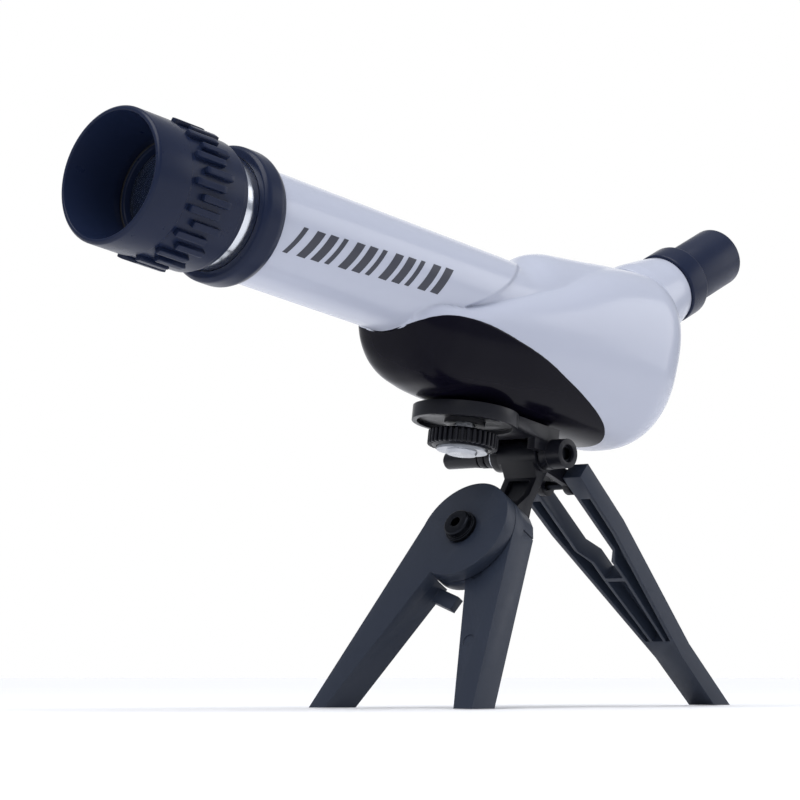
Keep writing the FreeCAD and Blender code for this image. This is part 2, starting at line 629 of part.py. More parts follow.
lever_start = "armHalf+1.2"
keep("clamp_washer", turned("clamp_washer", tube_points(
    "armHalf", lever_start, "leverRadius+1", "clampRadius+slideFit")), clamp_frame)
keep("lock_lever", turned("lock_lever", [
    (lever_start, "clampRadius+slideFit"),
    (lever_start, "leverRadius+0.5"),
    (lever_start + "+2.6", "leverRadius+0.5"),
    (lever_start + "+2.6", "leverRadius-0.2"),
    (lever_start + "+3.3", "leverRadius-0.2"),
    (lever_start + "+3.3", "leverRadius+0.4"),
    (lever_start + "+5.6", "leverRadius+0.4"),
    (lever_start + "+5.6", "leverRadius-0.3"),
    (lever_start + "+6.3", "leverRadius-0.3"),
    (lever_start + "+6.3", "leverRadius+0.2"),
    (lever_start + "+9", "leverRadius"),
    (lever_start + "+leverLength-1.5", "leverRadius"),
    (lever_start + "+leverLength", "leverRadius-1.5"),
    (lever_start + "+leverLength", "0"),
    (lever_start + "+leverLength-6", "0"),
    (lever_start + "+leverLength-6", "clampRadius+slideFit"),
]), clamp_frame)
keep("clamp_screw", turned("clamp_screw", rod_points(
    "-armHalf-bossLength+2.2", lever_start + "+leverLength-6", "clampRadius")), clamp_frame)

clamp_nut = doc.addObject("Part::Feature", "clamp_nut")
clamp_nut.Shape = y_rod(nut_hole_radius - 0.02, -arm_half - size("bossLength") + 1.0,
                        -arm_half - size("bossLength") + nut_pocket).cut(clamp_hole)
keep("clamp_nut", clamp_nut, platform_frame)

# ---------------------------------------------------------------- front legs


def leg_outline(side, inset, start, end):
    """Corners of one leg below its disc, narrowed by an inset, from start to end along its line."""
    taper_outer = "(discRadius-0.1-legFootOuter)/legReach"
    taper_inner = "(legFootInner-legTopInner)/(legReach-discRadius)"
    edges = []
    for along, outer_first in ((start, True), (end, False)):
        outer_x = "(discRadius-0.1-(%s)*%s-%s)" % (along, taper_outer, inset)
        inner_x = "(legTopInner+((%s)-discRadius)*%s+%s)" % (along, taper_inner, inset)
        pair = [(side + outer_x, "-(%s)" % along), (side + inner_x, "-(%s)" % along)]
        edges += pair[::-1] if outer_first else pair
    return edges


def pocket(body, sketch, length):
    """A Pocket that starts at the sketch and goes towards the front."""
    return feature(body, "Pocket", sketch, length, backwards=True)


def front_leg(name, side, spread, room, back_offset):
    """A leg with its disc, open channel and foot; room is the round space behind the disc."""
    body = new_body(name)
    feature(body, "Pad", ring_sketch(body, "XY_Plane", "-discThick", "0", "0", "discRadius"), "discThick")
    feature(body, "Pad", outline(body, "XY_Plane", "-legDepth", leg_outline(side, "0", "0", "legReach")), "legDepth")
    if side == "":
        flange = [("discRadius*0.81", "0.5"), ("discRadius-0.1", "0.5"), ("discRadius*0.953", "discRadius*0.3"),
                  ("discRadius*0.847", "discRadius*0.53"), ("discRadius*0.694", "discRadius*0.718"),
                  ("discRadius*0.6", "discRadius*0.63"), ("discRadius*0.735", "discRadius*0.46"),
                  ("discRadius*0.8", "discRadius*0.24")]
        feature(body, "Pad", outline(body, "XY_Plane", "-legDepth", flange), "legDepth")
    doc.recompute()
    pocket(body, ring_sketch(body, "XY_Plane", "-legDepth", "0", "0", room), "legDepth-discThick")
    channel = leg_outline(side, "legWall", "discRadius+0.6", "legReach-9")
    pocket(body, outline(body, "XY_Plane", "-legDepth", channel), "legDepth-legWall-0.4")
    pocket(body, ring_sketch(body, "XY_Plane", "-legDepth", "0", "0", "legScrewRadius+slideFit"), "legDepth")
    if side == "":
        for x, y in (("discRadius-12.4", "-discRadius+1.4"), ("discRadius-11.7", "-discRadius-24")):
            mark = ring_sketch(body, "XY_Plane", "0", x, y, "2.1")
            feature(body, "Pocket", mark, "0.35")
        notch = [("legTopInner-1", "-discRadius-0.4"), ("legTopInner+4", "-discRadius-0.4"),
                 ("legTopInner+4", "-discRadius-10"), ("legTopInner-1", "-discRadius-10")]
        pocket(body, outline(body, "XY_Plane", "-legDepth", notch), "legDepth-legWall-0.5")
    else:
        lug = [("-legTopInner-1", "-discRadius-1.6"), ("-legTopInner-1", "-discRadius-6.4"),
               ("9", "-discRadius-6.4"), ("9", "-discRadius-1.6")]
        feature(body, "Pad", outline(body, "XY_Plane", "-legDepth", lug), "2.6")
    doc.recompute()
    place = leg_frame.multiply(FreeCAD.Placement(Vec(0, 0, -back_offset), turn(Vec(0, 0, 1), spread)))
    floor = doc.addObject("Part::Box", name + "_floor")
    floor.Length, floor.Width, floor.Height = 400, 400, 100
    floor.Placement = place.inverse().multiply(FreeCAD.Placement(Vec(-200, -200, -100), FreeCAD.Rotation()))
    return keep(name, solid_cut(name, body, [floor]), place)


disc_step = size("discThick") + 0.2
front_leg("leg_left", "-", -size("leftSpread"), "discRadius+sideFit", 0.0)
front_leg("leg_right", "", size("rightSpread"), "hubPlateRadius+sideFit", disc_step)

keep("leg_screw", turned("leg_screw", [
    ("4", "1.7"),
    ("4", "4.1"),
    ("3.5", "4.6"),
    ("1.5", "4.6"),
    ("1.5", "5.4"),
    ("0.1", "5.4"),
    ("0.1", "legScrewRadius"),
    ("-2*discThick-hubPlateThick-4.6", "legScrewRadius"),
    ("-2*discThick-hubPlateThick-4.6", "0"),
    ("1.2", "0"),
    ("1.2", "1.7"),
]), leg_turned)

# ---------------------------------------------------------------- hub

half = size("hubHalf")
tilt_at = Vec(size("tiltAhead"), 0, size("tiltAbove"))
rear_at = Vec(size("rearAhead"), 0, size("rearAbove"))
plate_front = 2 * disc_step
plate_back = plate_front + size("hubPlateThick")


def on_leg_plane(behind, up):
    """A point of the middle plane, behind the disc's face and up its slope."""
    return leg_normal * -behind + leg_uphill * up


def slab(corners, low_y, high_y):
    """A flat piece with this side view, between two Y planes."""
    base = [Vec(c.x, low_y, c.z) for c in corners]
    return Part.Face(Part.makePolygon(base + base[:1])).extrude(Vec(0, high_y - low_y, 0))


plate_radius = size("hubPlateRadius")
plate = Part.makeCylinder(plate_radius, size("hubPlateThick"), leg_normal * -plate_back, leg_normal)
web_corners = [
    on_leg_plane(plate_front, plate_radius - 2.5),
    tilt_at + Vec(-6.7, 0, -12.9),
    tilt_at + Vec(-3.2, 0, -7.3),
    tilt_at + Vec(-5.4, 0, -1.5),
    tilt_at + Vec(5.2, 0, -1.5),
    tilt_at + Vec(1.0, 0, -6.8),
    tilt_at + Vec(-5.4, 0, -16.0),
    tilt_at + Vec(-8.0, 0, -24.0),
    on_leg_plane(plate_back, -plate_radius + 6),
    on_leg_plane(plate_front, -plate_radius + 6),
]
web = slab(web_corners, -half, half)
recess_corners = [
    on_leg_plane(plate_back + 0.5, plate_radius + 1),
    tilt_at + Vec(-9, 0, -8.2),
    tilt_at + Vec(-1.9, 0, -8.2),
    tilt_at + Vec(-7.4, 0, -16.0),
    on_leg_plane(plate_back + 0.5, -plate_radius + 11),
]
hollow = slab(recess_corners, -half + size("hubWall"), half - size("hubWall"))
knuckle_half = arm_half - ear_thick - size("sideFit")
knuckle = y_rod(size("knuckleRadius"), -knuckle_half, knuckle_half, tilt_at.x, tilt_at.z)
tongue_corners = [
    tilt_at + Vec(-3.0, 0, -5.0),
    tilt_at + Vec(2.5, 0, -1.0),
    rear_at + Vec(1.6, 0, 3.0),
    rear_at + Vec(-3.3, 0, -0.6),
    tilt_at + Vec(2.2, 0, -5.5),
]
tongues = []
for low_y in (-half, half - size("hubWall")):
    tongues.append(slab(tongue_corners, low_y, low_y + size("hubWall")))
    tongues.append(y_rod(3.4, low_y, low_y + size("hubWall"), rear_at.x, rear_at.z))
leg_bolt = Part.makeCylinder(size("legScrewRadius") + size("slideFit"), 80, leg_normal * -60, leg_normal)
tilt_hole = y_rod(size("clampRadius") + size("slideFit"), -30, 30, tilt_at.x, tilt_at.z)
rear_hole = y_rod(size("rearPinRadius") + size("slideFit"), -30, 30, rear_at.x, rear_at.z)
leg_nut_radius, leg_nut_thick = 4.6, 3.6
hub = doc.addObject("Part::Feature", "hub")
nut_room = Part.makeCylinder(leg_nut_radius + 1.2, 20, leg_normal * -(plate_back + 20), leg_normal)
hub_body = web.fuse(plate).cut(hollow).fuse([knuckle] + tongues)
hub.Shape = hub_body.cut(leg_bolt).cut(tilt_hole).cut(rear_hole).cut(nut_room).removeSplitter()
keep("hub", hub, FreeCAD.Placement(pivot_point, FreeCAD.Rotation()))

nut_points = [Vec(leg_nut_radius * math.cos(math.radians(60 * k)), leg_nut_radius * math.sin(math.radians(60 * k)), 0)
              for k in range(6)]
leg_nut = doc.addObject("Part::Feature", "leg_nut")
hexagon = Part.Face(Part.makePolygon(nut_points + nut_points[:1])).extrude(Vec(0, 0, leg_nut_thick))
leg_nut.Shape = hexagon.cut(Part.makeCylinder(size("legScrewRadius") + size("slideFit"), 10, Vec(0, 0, -1)))
keep("leg_nut", leg_nut, leg_frame.multiply(FreeCAD.Placement(
    Vec(0, 0, -plate_back - leg_nut_thick), FreeCAD.Rotation())))

# ---------------------------------------------------------------- rear leg

rear_half_thick = size("rearThick") / 2


def flat_piece(points, low, high):
    """A flat outline in the rear leg's own plane, between two heights."""
    base = [Vec(x, y, low) for x, y in points]
    return Part.Face(Part.makePolygon(base + base[:1])).extrude(Vec(0, 0, high - low))


reach, top_half, foot_half = size("rearReach"), size("rearTopHalf"), size("rearFootHalf")
prong_end = size("prongEnd")
edge = [(-prong_end, top_half), (20, top_half - 1.0), (80, foot_half + 0.5), (reach, foot_half)]
rear_outline = edge + [(x, -y) for x, y in reversed(edge)]
slot_half = half + size("sideFit")
slot_edge = [(-prong_end - 1, slot_half), (size("slotLength") - 3, slot_half),
             (size("slotLength") + 2, size("neckSlotHalf")), (size("neckSlotEnd"), size("neckSlotHalf"))]
slot_outline = slot_edge + [(x, -y) for x, y in reversed(slot_edge)]
slot_end, neck_half, channel_end = size("neckSlotEnd"), size("neckSlotHalf"), 72.0
channel_edge = [(slot_end + 1.6, neck_half), (channel_end, 2.2)]
channel_outline = channel_edge + [(x, -y) for x, y in reversed(channel_edge)]
side_channel = [(4, slot_half + 1.4), (4, top_half - 2.1), (20, top_half - 2.7), (channel_end, foot_half),
                (channel_end, 3.4), (slot_end, neck_half + 1.3), (size("slotLength") + 2.5, neck_half + 1.3),
                (size("slotLength") - 3.5, slot_half + 1.4)]
rear_shape = flat_piece(rear_outline, -rear_half_thick, rear_half_thick)
rear_shape = rear_shape.cut(flat_piece(slot_outline, -rear_half_thick - 1, rear_half_thick + 1))
for channel in (channel_outline, side_channel, [(x, -y) for x, y in side_channel]):
    rear_shape = rear_shape.cut(flat_piece(channel, -rear_half_thick - 1, rear_half_thick - 1.6))
pin_reach = slot_half + 3.4
rear_shape = rear_shape.cut(y_rod(size("rearPinRadius") + size("slideFit"), -pin_reach - 0.2, pin_reach + 0.2))
floor_box = Part.makeBox(400, 400, 100, Vec(-200, -200, -100))
floor_box.Placement = rear_frame.inverse().multiply(floor_box.Placement)
rear_leg = doc.addObject("Part::Feature", "rear_leg")
rear_leg.Shape = rear_shape.cut(floor_box)
keep("rear_leg", rear_leg, rear_frame)
rear_turning = FreeCAD.Placement(rear_point, turn(Vec(0, 0, 1), 90))
keep("rear_pin", turned("rear_pin", rod_points(
    "-hubHalf-sideFit-3.4", "hubHalf+sideFit+3.4", "rearPinRadius")), rear_turning)

# ---------------------------------------------------------------- centre, check and write

doc.recompute()
box = FreeCAD.BoundBox()
for made in parts.values():
    box.add(made.Shape.BoundBox)
shift = Vec(-box.Center.x, -box.Center.y, -box.ZMin)
for made in parts.values():
    made.Placement = FreeCAD.Placement(shift, FreeCAD.Rotation()).multiply(made.Placement)
doc.recompute()

for made in doc.Objects:
    if "Invalid" in made.State or "Error" in made.State:
        raise RuntimeError("%s did not compute: %s" % (made.Name, made.State))
for name, made in parts.items():
    if made.Shape.isNull() or not made.Shape.isValid() or not made.Shape.Solids:
        raise RuntimeError("%s has no valid solid" % name)

os.makedirs("parts", exist_ok=True)
for name, made in parts.items():
    made.Shape.exportStep("parts/%s.step" % name)
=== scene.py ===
"""The finished look of a small spotting telescope on a folding table tripod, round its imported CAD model."""

import json
import math

import bmesh
import bpy
import numpy as np
from bpy.props import FloatProperty, FloatVectorProperty, IntProperty, PointerProperty
from mathutils import Matrix, Vector


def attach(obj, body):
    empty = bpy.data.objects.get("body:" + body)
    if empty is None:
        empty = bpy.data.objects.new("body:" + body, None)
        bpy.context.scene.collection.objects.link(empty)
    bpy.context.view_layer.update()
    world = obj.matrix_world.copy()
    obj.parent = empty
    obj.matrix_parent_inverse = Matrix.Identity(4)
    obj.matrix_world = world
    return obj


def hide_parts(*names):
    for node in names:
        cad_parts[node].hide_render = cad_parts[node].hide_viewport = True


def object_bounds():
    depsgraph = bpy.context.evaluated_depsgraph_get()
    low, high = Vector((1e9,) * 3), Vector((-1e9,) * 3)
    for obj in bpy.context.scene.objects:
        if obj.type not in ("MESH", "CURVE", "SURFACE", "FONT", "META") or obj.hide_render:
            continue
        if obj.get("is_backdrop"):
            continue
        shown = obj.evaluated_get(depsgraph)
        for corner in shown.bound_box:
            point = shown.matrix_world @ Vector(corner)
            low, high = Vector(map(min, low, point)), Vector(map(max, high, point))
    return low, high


bl_info = {
    "name": "Spotting telescope on tripod",
    "version": (1, 0, 0),
    "blender": (4, 5, 0),
    "location": "View3D > Sidebar > Telescope",
    "description": "Builds the finished pieces of a small spotting telescope and its tripod",
    "category": "Object",
}

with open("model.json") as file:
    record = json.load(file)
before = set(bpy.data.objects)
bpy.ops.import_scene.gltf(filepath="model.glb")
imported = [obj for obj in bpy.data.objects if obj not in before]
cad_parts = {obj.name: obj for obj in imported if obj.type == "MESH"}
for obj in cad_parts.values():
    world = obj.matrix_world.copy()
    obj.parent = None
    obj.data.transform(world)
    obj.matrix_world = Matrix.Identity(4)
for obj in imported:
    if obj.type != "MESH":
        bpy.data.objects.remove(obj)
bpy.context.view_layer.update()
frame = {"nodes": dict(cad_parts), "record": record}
MM = 0.001


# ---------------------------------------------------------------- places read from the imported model


def joint(name):
    return next(j for j in frame["record"]["behaviour"]["joints"] if j["name"] == name)


def mount(name):
    return next(m for m in frame["record"]["mounts"] if m["name"] == name)


def place(origin, along, up):
    """A matrix whose X runs along, whose Z is as near as can be to up, and whose origin is given."""
    x = Vector(along).normalized()
    y = Vector(up).cross(x).normalized()
    z = x.cross(y)
    turned = Matrix((x, y, z)).transposed().to_4x4()
    return Matrix.Translation(Vector(origin)) @ turned


# The cap seat is 6.8 mm behind the mouth, and the eyecup mount 22.05 mm beyond the eyepiece ring's front.
CAP_SEAT_BACK = 6.8 * MM
CUP_MOUNT_OUT = 22.05 * MM
TUBE_AHEAD = Vector(mount("lens_cap_seat")["axis"])
MOUTH = Vector(mount("lens_cap_seat")["pos_m"]) + TUBE_AHEAD * CAP_SEAT_BACK
SCOPE = place(MOUTH, -TUBE_AHEAD, (0, 0, 1))
EYE_AXIS = Vector(mount("eyecup_outside")["axis"])
EYE = place(Vector(mount("eyecup_outside")["pos_m"]) - EYE_AXIS * CUP_MOUNT_OUT, EYE_AXIS, (0, 0, 1))
SCREW_AXIS = Vector(joint("scope_pan")["axis"])
WHEEL = place(joint("scope_pan")["pos_m"], SCREW_AXIS, (1, 0, 0))


def linear(hex_value):
    """The linear colour of an sRGB hex value."""
    out = []
    for shift in (16, 8, 0):
        c = (hex_value >> shift & 255) / 255
        out.append(c / 12.92 if c <= 0.04045 else ((c + 0.055) / 1.055) ** 2.4)
    return (*out, 1.0)


# ---------------------------------------------------------------- what a user may change


def length(text, default_mm, description):
    return FloatProperty(name=text, description=description, default=default_mm * MM, unit="LENGTH",
                         subtype="DISTANCE", min=0.0, precision=5)


def colour(text, hex_value, description):
    return FloatVectorProperty(name=text, description=description, default=linear(hex_value)[:3], size=3,
                               subtype="COLOR", min=0.0, max=1.0)


class ScopeSizes(bpy.types.PropertyGroup):
    """Sizes of the finished pieces."""

    tube_radius: length("Tube radius", 17.4, "Outside radius of the main tube")
    barrel_radius: length("Barrel radius", 20.3, "Outside radius of the focus barrel")
    barrel_length: length("Barrel length", 37.0, "Front rim to rear edge of the focus barrel")
    rib_height: length("Rib height", 1.1, "Height of the grip ribs above the barrel")
    rib_width: length("Rib width", 2.2, "Width of one grip rib")
    rib_count: IntProperty(name="Ribs in a ring", description="Grip ribs in each of the two rings",
                           default=16, min=3)
    collar_radius: length("Collar radius", 20.7, "Outside radius of the front collar")
    cover_proud: length("Cover stands proud", 0.18, "How far the dark belly cover stands out of the shell")
    ring_radius: length("Eyepiece ring radius", 12.4, "Outside radius of the eyepiece ring")
    cup_radius: length("Eyecup radius", 10.1, "Outside radius of the eyecup")
    wheel_radius: length("Thumbwheel radius", 11.1, "Outside radius of the thumbwheel")
    knurl_count: IntProperty(name="Knurls", description="Grip knurls round the thumbwheel", default=36, min=6)
    edge_round: length("Edge rounding", 0.35, "Rounding of the tripod's moulded edges")
    stripe_height: length("Stripe height", 9.0, "Height of the printed bars on the tube")


class ScopeColours(bpy.types.PropertyGroup):
    """Colours of the finishes."""

    shell: colour("Shell", 0xB8BDCD, "Pearl white of the tube and housing")
    cover: colour("Cover", 0x0C0B16, "Black of the belly cover")
    barrel: colour("Barrel", 0x19223A, "Blue-black of the barrel, collar and eyepiece")
    tripod: colour("Tripod head", 0x13141B, "Black of the platform, thumbwheel and hub")
    legs: colour("Legs", 0x2A313F, "Dark slate of the legs")
    sleeve: colour("Sleeve", 0xDDE1E8, "Bright metal of the focus sleeve")
    print_ink: colour("Print", 0x2B2E3D, "Ink of the bars on the tube")


def sizes():
    return bpy.context.scene.scope_sizes


def colours():
    return bpy.context.scene.scope_colours


# ---------------------------------------------------------------- materials


def add_node(tree, kind, inputs=None, **settings):
    """Add one node with its settings, and set or link its inputs."""
    node = tree.nodes.new(kind)
    for name, value in settings.items():
        setattr(node, name, value)
    for key, value in (inputs or {}).items():
        if isinstance(value, bpy.types.NodeSocket):
            tree.links.new(value, node.inputs[key])
        else:
            node.inputs[key].default_value = value
    return node


def new_material(name):
    """An empty material with its surface shader, output and object coordinates."""
    material = bpy.data.materials.new(name)
    material.use_nodes = True
    tree = material.node_tree
    tree.nodes.clear()
    shader = add_node(tree, "ShaderNodeBsdfPrincipled")
    add_node(tree, "ShaderNodeOutputMaterial", {"Surface": shader.outputs["BSDF"]})
    coords = add_node(tree, "ShaderNodeTexCoord").outputs["Object"]
    return material, tree, shader, coords


def noise(tree, coords, size_mm, detail=3.0, roughness=0.5):
    """Noise whose patches are about this many millimetres across."""
    return add_node(tree, "ShaderNodeTexNoise", {
        "Vector": coords, "Scale": 1.0 / (size_mm * MM), "Detail": detail, "Roughness": roughness,
    }).outputs["Fac"]


def spread(tree, factor, low, high):
    """The factor's middle range mapped onto low to high."""
    return add_node(tree, "ShaderNodeMapRange", {
        "Value": factor, "From Min": 0.3, "From Max": 0.7, "To Min": low, "To Max": high,
    }).outputs["Result"]


def two_tone(tree, shader, factor, base, other):
    """Mix two close colours into the shader's base colour."""
    mix = add_node(tree, "ShaderNodeMix", {0: factor, 6: (*base[:3], 1.0), 7: (*other[:3], 1.0)},
                   data_type="RGBA")
    tree.links.new(mix.outputs[2], shader.inputs["Base Color"])


def bumps(tree, shader, layers):
    """Stack height maps given as (height, depth in mm, strength) into the shader's normal."""
    normal = None
    for height, depth_mm, strength in layers:
        inputs = {"Height": height, "Distance": depth_mm * MM, "Strength": strength}
        if normal is not None:
            inputs["Normal"] = normal
        normal = add_node(tree, "ShaderNodeBump", inputs).outputs["Normal"]
    tree.links.new(normal, shader.inputs["Normal"])


def darker(rgb, share):
    return tuple(c * share for c in rgb[:3])


def moulded_plastic(name, rgb, gloss, sheen_mm, grain_mm, grain_depth_mm, coat=0.0, fade=0.86, shine=0.5):
    """Moulded ABS: long soft waves from the mould, a fine grain, and a gloss that varies with handling."""
    material, tree, shader, coords = new_material(name)
    cloud = noise(tree, coords, sheen_mm, 4.0)
    two_tone(tree, shader, cloud, rgb, darker(rgb, fade))
    handled = noise(tree, coords, 6.0, 6.0, 0.65)
    tree.links.new(spread(tree, handled, gloss[0], gloss[1]), shader.inputs["Roughness"])
    shader.inputs["IOR"].default_value = 1.53
    shader.inputs["Specular IOR Level"].default_value = shine
    shader.inputs["Coat Weight"].default_value = coat
    shader.inputs["Coat Roughness"].default_value = 0.06
    grain = noise(tree, coords, grain_mm, 2.0)
    waves = noise(tree, coords, 9.0, 1.0)
    bumps(tree, shader, [(waves, 0.05, 0.5), (grain, grain_depth_mm, 0.6)])
    return material


def pearl_shell():
    """Sprayed pearl-white ABS: a clear glossy film over a faintly clouded lavender white."""
    return moulded_plastic("pearl_white_shell", colours().shell, (0.24, 0.27), 40.0, 0.5, 0.002, coat=0.25,
                           fade=0.99)


def piano_cover():
    """High-gloss moulded black: nearly a mirror, with only dust-fine texture."""
    return moulded_plastic("gloss_black_cover", colours().cover, (0.14, 0.2), 20.0, 0.6, 0.002, shine=0.08)


def barrel_plastic():
    """Moulded blue-black ABS, satin to gloss."""
    return moulded_plastic("satin_black_barrel", colours().barrel, (0.26, 0.36), 14.0, 0.35, 0.005,
                           shine=0.16)


def head_plastic():
    """Moulded black nylon of the tripod head, a little greyer and duller than the barrel."""
    return moulded_plastic("moulded_black_head", colours().tripod, (0.28, 0.4), 12.0, 0.4, 0.006, shine=0.25)


def leg_plastic():
    """Moulded dark slate ABS of the legs: even satin, with a fine spark-eroded grain."""
    return moulded_plastic("moulded_slate_legs", colours().legs, (0.34, 0.46), 18.0, 0.45, 0.01, shine=0.3)


def cup_rubber():
    """Soft black vinyl of the eyecup: a broad dull sheen, worn a little paler."""
    return moulded_plastic("soft_black_eyecup", colours().barrel, (0.32, 0.42), 8.0, 0.4, 0.008, shine=0.2)


def baffle_black():
    """Matt black paint inside the optics: it swallows light."""
    return moulded_plastic("matt_black_inside", (0.012, 0.012, 0.015), (0.6, 0.75), 10.0, 0.3, 0.02)


def turned_metal(name, rgb, rough, ring_mm):
    """Plated metal turned on a lathe: fine even rings across the axis and small stains."""
    material, tree, shader, coords = new_material(name)
    stain = noise(tree, coords, 7.0, 5.0)
    two_tone(tree, shader, stain, rgb, darker(rgb, 0.88))
    tree.links.new(spread(tree, noise(tree, coords, 3.0, 4.0), rough[0], rough[1]),
                   shader.inputs["Roughness"])
    shader.inputs["Metallic"].default_value = 1.0
    rings = add_node(tree, "ShaderNodeTexWave", {"Vector": coords, "Scale": 0.314 / (ring_mm * MM),
                                                 "Distortion": 0.6,
                                                 "Detail": 2.0}, bands_direction="X").outputs["Fac"]
    bumps(tree, shader, [(rings, 0.003, 0.4)])
    return material


def sleeve_metal():
    """Bright plated aluminium of the focus sleeve."""
    return turned_metal("bright_plated_sleeve", colours().sleeve, (0.12, 0.2), 0.25)


def zinc_steel():
    """Zinc plated steel of the screws and washers: silver with a cool cast."""
    return turned_metal("zinc_plated_steel", linear(0xB9BCC2), (0.25, 0.38), 0.2)


def black_steel():
    """Blackened steel screw head: dark, oily and half dull."""
    return turned_metal("blackened_steel", linear(0x24262B), (0.3, 0.42), 0.2)


def brass_insert():
    """Turned brass of the tripod socket."""
    return turned_metal("turned_brass", linear(0xC9A25B), (0.2, 0.34), 0.25)


def coated_glass():
    """Crown glass with a thin blue-violet coating, dark because the tube behind it is black."""
    material, tree, shader, coords = new_material("coated_glass")
    shader.inputs["IOR"].default_value = 1.52
    shader.inputs["Transmission Weight"].default_value = 0.9
    shader.inputs["Coat Weight"].default_value = 0.6
    shader.inputs["Coat Tint"].default_value = linear(0x9DA8D8)
    dust = noise(tree, coords, 1.2, 5.0)
    two_tone(tree, shader, dust, linear(0x8FA3B4), linear(0x8598AA))
    tree.links.new(spread(tree, dust, 0.02, 0.05), shader.inputs["Roughness"])
    bumps(tree, shader, [(noise(tree, coords, 4.0, 1.0), 0.002, 0.2)])
    return material


def print_ink():
    """Pad-printed ink: flat, slightly broken, with a soft edge gloss."""
    return moulded_plastic("pad_printed_ink", colours().print_ink, (0.3, 0.42), 3.0, 0.3, 0.003)


FINISHES = {
    "shell_white": pearl_shell,
    "cover_black": piano_cover,
    "barrel_black": barrel_plastic,
    "cup_black": cup_rubber,
    "inner_black": baffle_black,
    "silver_sleeve": sleeve_metal,
    "tripod_black": head_plastic,
    "leg_slate": leg_plastic,
    "steel": zinc_steel,
    "black_steel": black_steel,
    "brass_insert": brass_insert,
    "glass": coated_glass,
    "ink": print_ink,
}
made_finishes = {}


def finish(slot):
    """The material of a record slot, made once."""
    if slot not in made_finishes:
        made_finishes[slot] = FINISHES[slot]()
    return made_finishes[slot]


# ---------------------------------------------------------------- mesh helpers


def own_piece(name, mesh, body, slot, replaced=(), sharp_degrees=35.0):
    """Give a mesh the material of its slot and a place under its body, and hide the CAD nodes it takes the
    place of.
    """
    piece = bpy.data.objects.new(name, mesh)
    bpy.context.scene.collection.objects.link(piece)
    if not mesh.materials:
        mesh.materials.append(finish(slot))
    mesh.shade_smooth()
    mesh.set_sharp_from_angle(angle=math.radians(sharp_degrees))
    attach(piece, body)
    if replaced:
        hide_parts(*replaced)
    return piece


def eased(profile, radius, steps=4):
    """A closed profile with each corner rounded; a corner given as (x, r, 0) stays sharp."""
    out = []
    count = len(profile)
    for i, corner in enumerate(profile):
        own = corner[2] if len(corner) > 2 else radius
        here = np.array(corner[:2], float)
        before = np.array(profile[i - 1][:2], float)
        after = np.array(profile[(i + 1) % count][:2], float)
        to_before, to_after = before - here, after - here
        reach_before, reach_after = np.linalg.norm(to_before), np.linalg.norm(to_after)
        trim = min(own, 0.45 * reach_before, 0.45 * reach_after)
        if trim < 1e-4:
            out.append(tuple(here))
            continue
        start = here + to_before / reach_before * trim
        end = here + to_after / reach_after * trim
        for k in range(steps + 1):
            f = k / steps
            point = (1 - f) ** 2 * start + 2 * f * (1 - f) * here + f**2 * end
            out.append(tuple(point))
    return out


def turned_mesh(name, profile, matrix, segments=128):
    """A closed (x, r) profile in millimetres turned round X, then put in its place."""
    bm = bmesh.new()
    rings = []
    for x, r in profile:
        if r < 1e-6:
            rings.append([bm.verts.new((x * MM, 0, 0))])
            continue
        ring = []
        for k in range(segments):
            a = 2 * math.pi * k / segments
            ring.append(bm.verts.new((x * MM, r * MM * math.sin(a), r * MM * math.cos(a))))
        rings.append(ring)
    for i, ring in enumerate(rings):
        follow = rings[(i + 1) % len(rings)]
        for k in range(segments):
            j = (k + 1) % segments
            if len(ring) == 1 and len(follow) == 1:
                break
            if len(ring) == 1:
                bm.faces.new((ring[0], follow[k], follow[j]))
            elif len(follow) == 1:
                bm.faces.new((ring[k], ring[j], follow[0]))
            else:
                bm.faces.new((ring[k], ring[j], follow[j], follow[k]))
    bmesh.ops.recalc_face_normals(bm, faces=bm.faces)
    bmesh.ops.transform(bm, matrix=matrix, verts=bm.verts)
    mesh = bpy.data.meshes.new(name)
    bm.to_mesh(mesh)
    bm.free()
    return mesh


def grid_mesh(name, rows, wrap, caps=()):
    """Rows of points as a quad surface; wrap joins each row's ends, and caps are rows closed by a fan."""
    bm = bmesh.new()
    verts = [[bm.verts.new(p) for p in row] for row in rows]
    across = len(rows[0])
    for a, b in zip(verts, verts[1:]):
        for k in range(across if wrap else across - 1):
            j = (k + 1) % across
            bm.faces.new((a[k], a[j], b[j], b[k]))
    for cap in caps:
        ring = verts[cap]
        middle = bm.verts.new(sum((v.co for v in ring), Vector()) / across)
        for k in range(across):
            bm.faces.new((ring[k], ring[(k + 1) % across], middle))
    bmesh.ops.remove_doubles(bm, verts=bm.verts, dist=1e-6)
    bmesh.ops.recalc_face_normals(bm, faces=bm.faces)
    mesh = bpy.data.meshes.new(name)
    bm.to_mesh(mesh)
    bm.free()
    return mesh


def join_meshes(name, meshes):
    """One mesh of several, keeping each one's faces."""
    bm = bmesh.new()
    for mesh in meshes:
        bm.from_mesh(mesh)
    joined = bpy.data.meshes.new(name)
    bm.to_mesh(joined)
    bm.free()
    return joined


def applied(name, obj):
    """The evaluated mesh of an object, which is then removed."""
    depsgraph = bpy.context.evaluated_depsgraph_get()
    mesh = bpy.data.meshes.new_from_object(obj.evaluated_get(depsgraph))
    mesh.name = name
    bpy.data.objects.remove(obj)
    return mesh


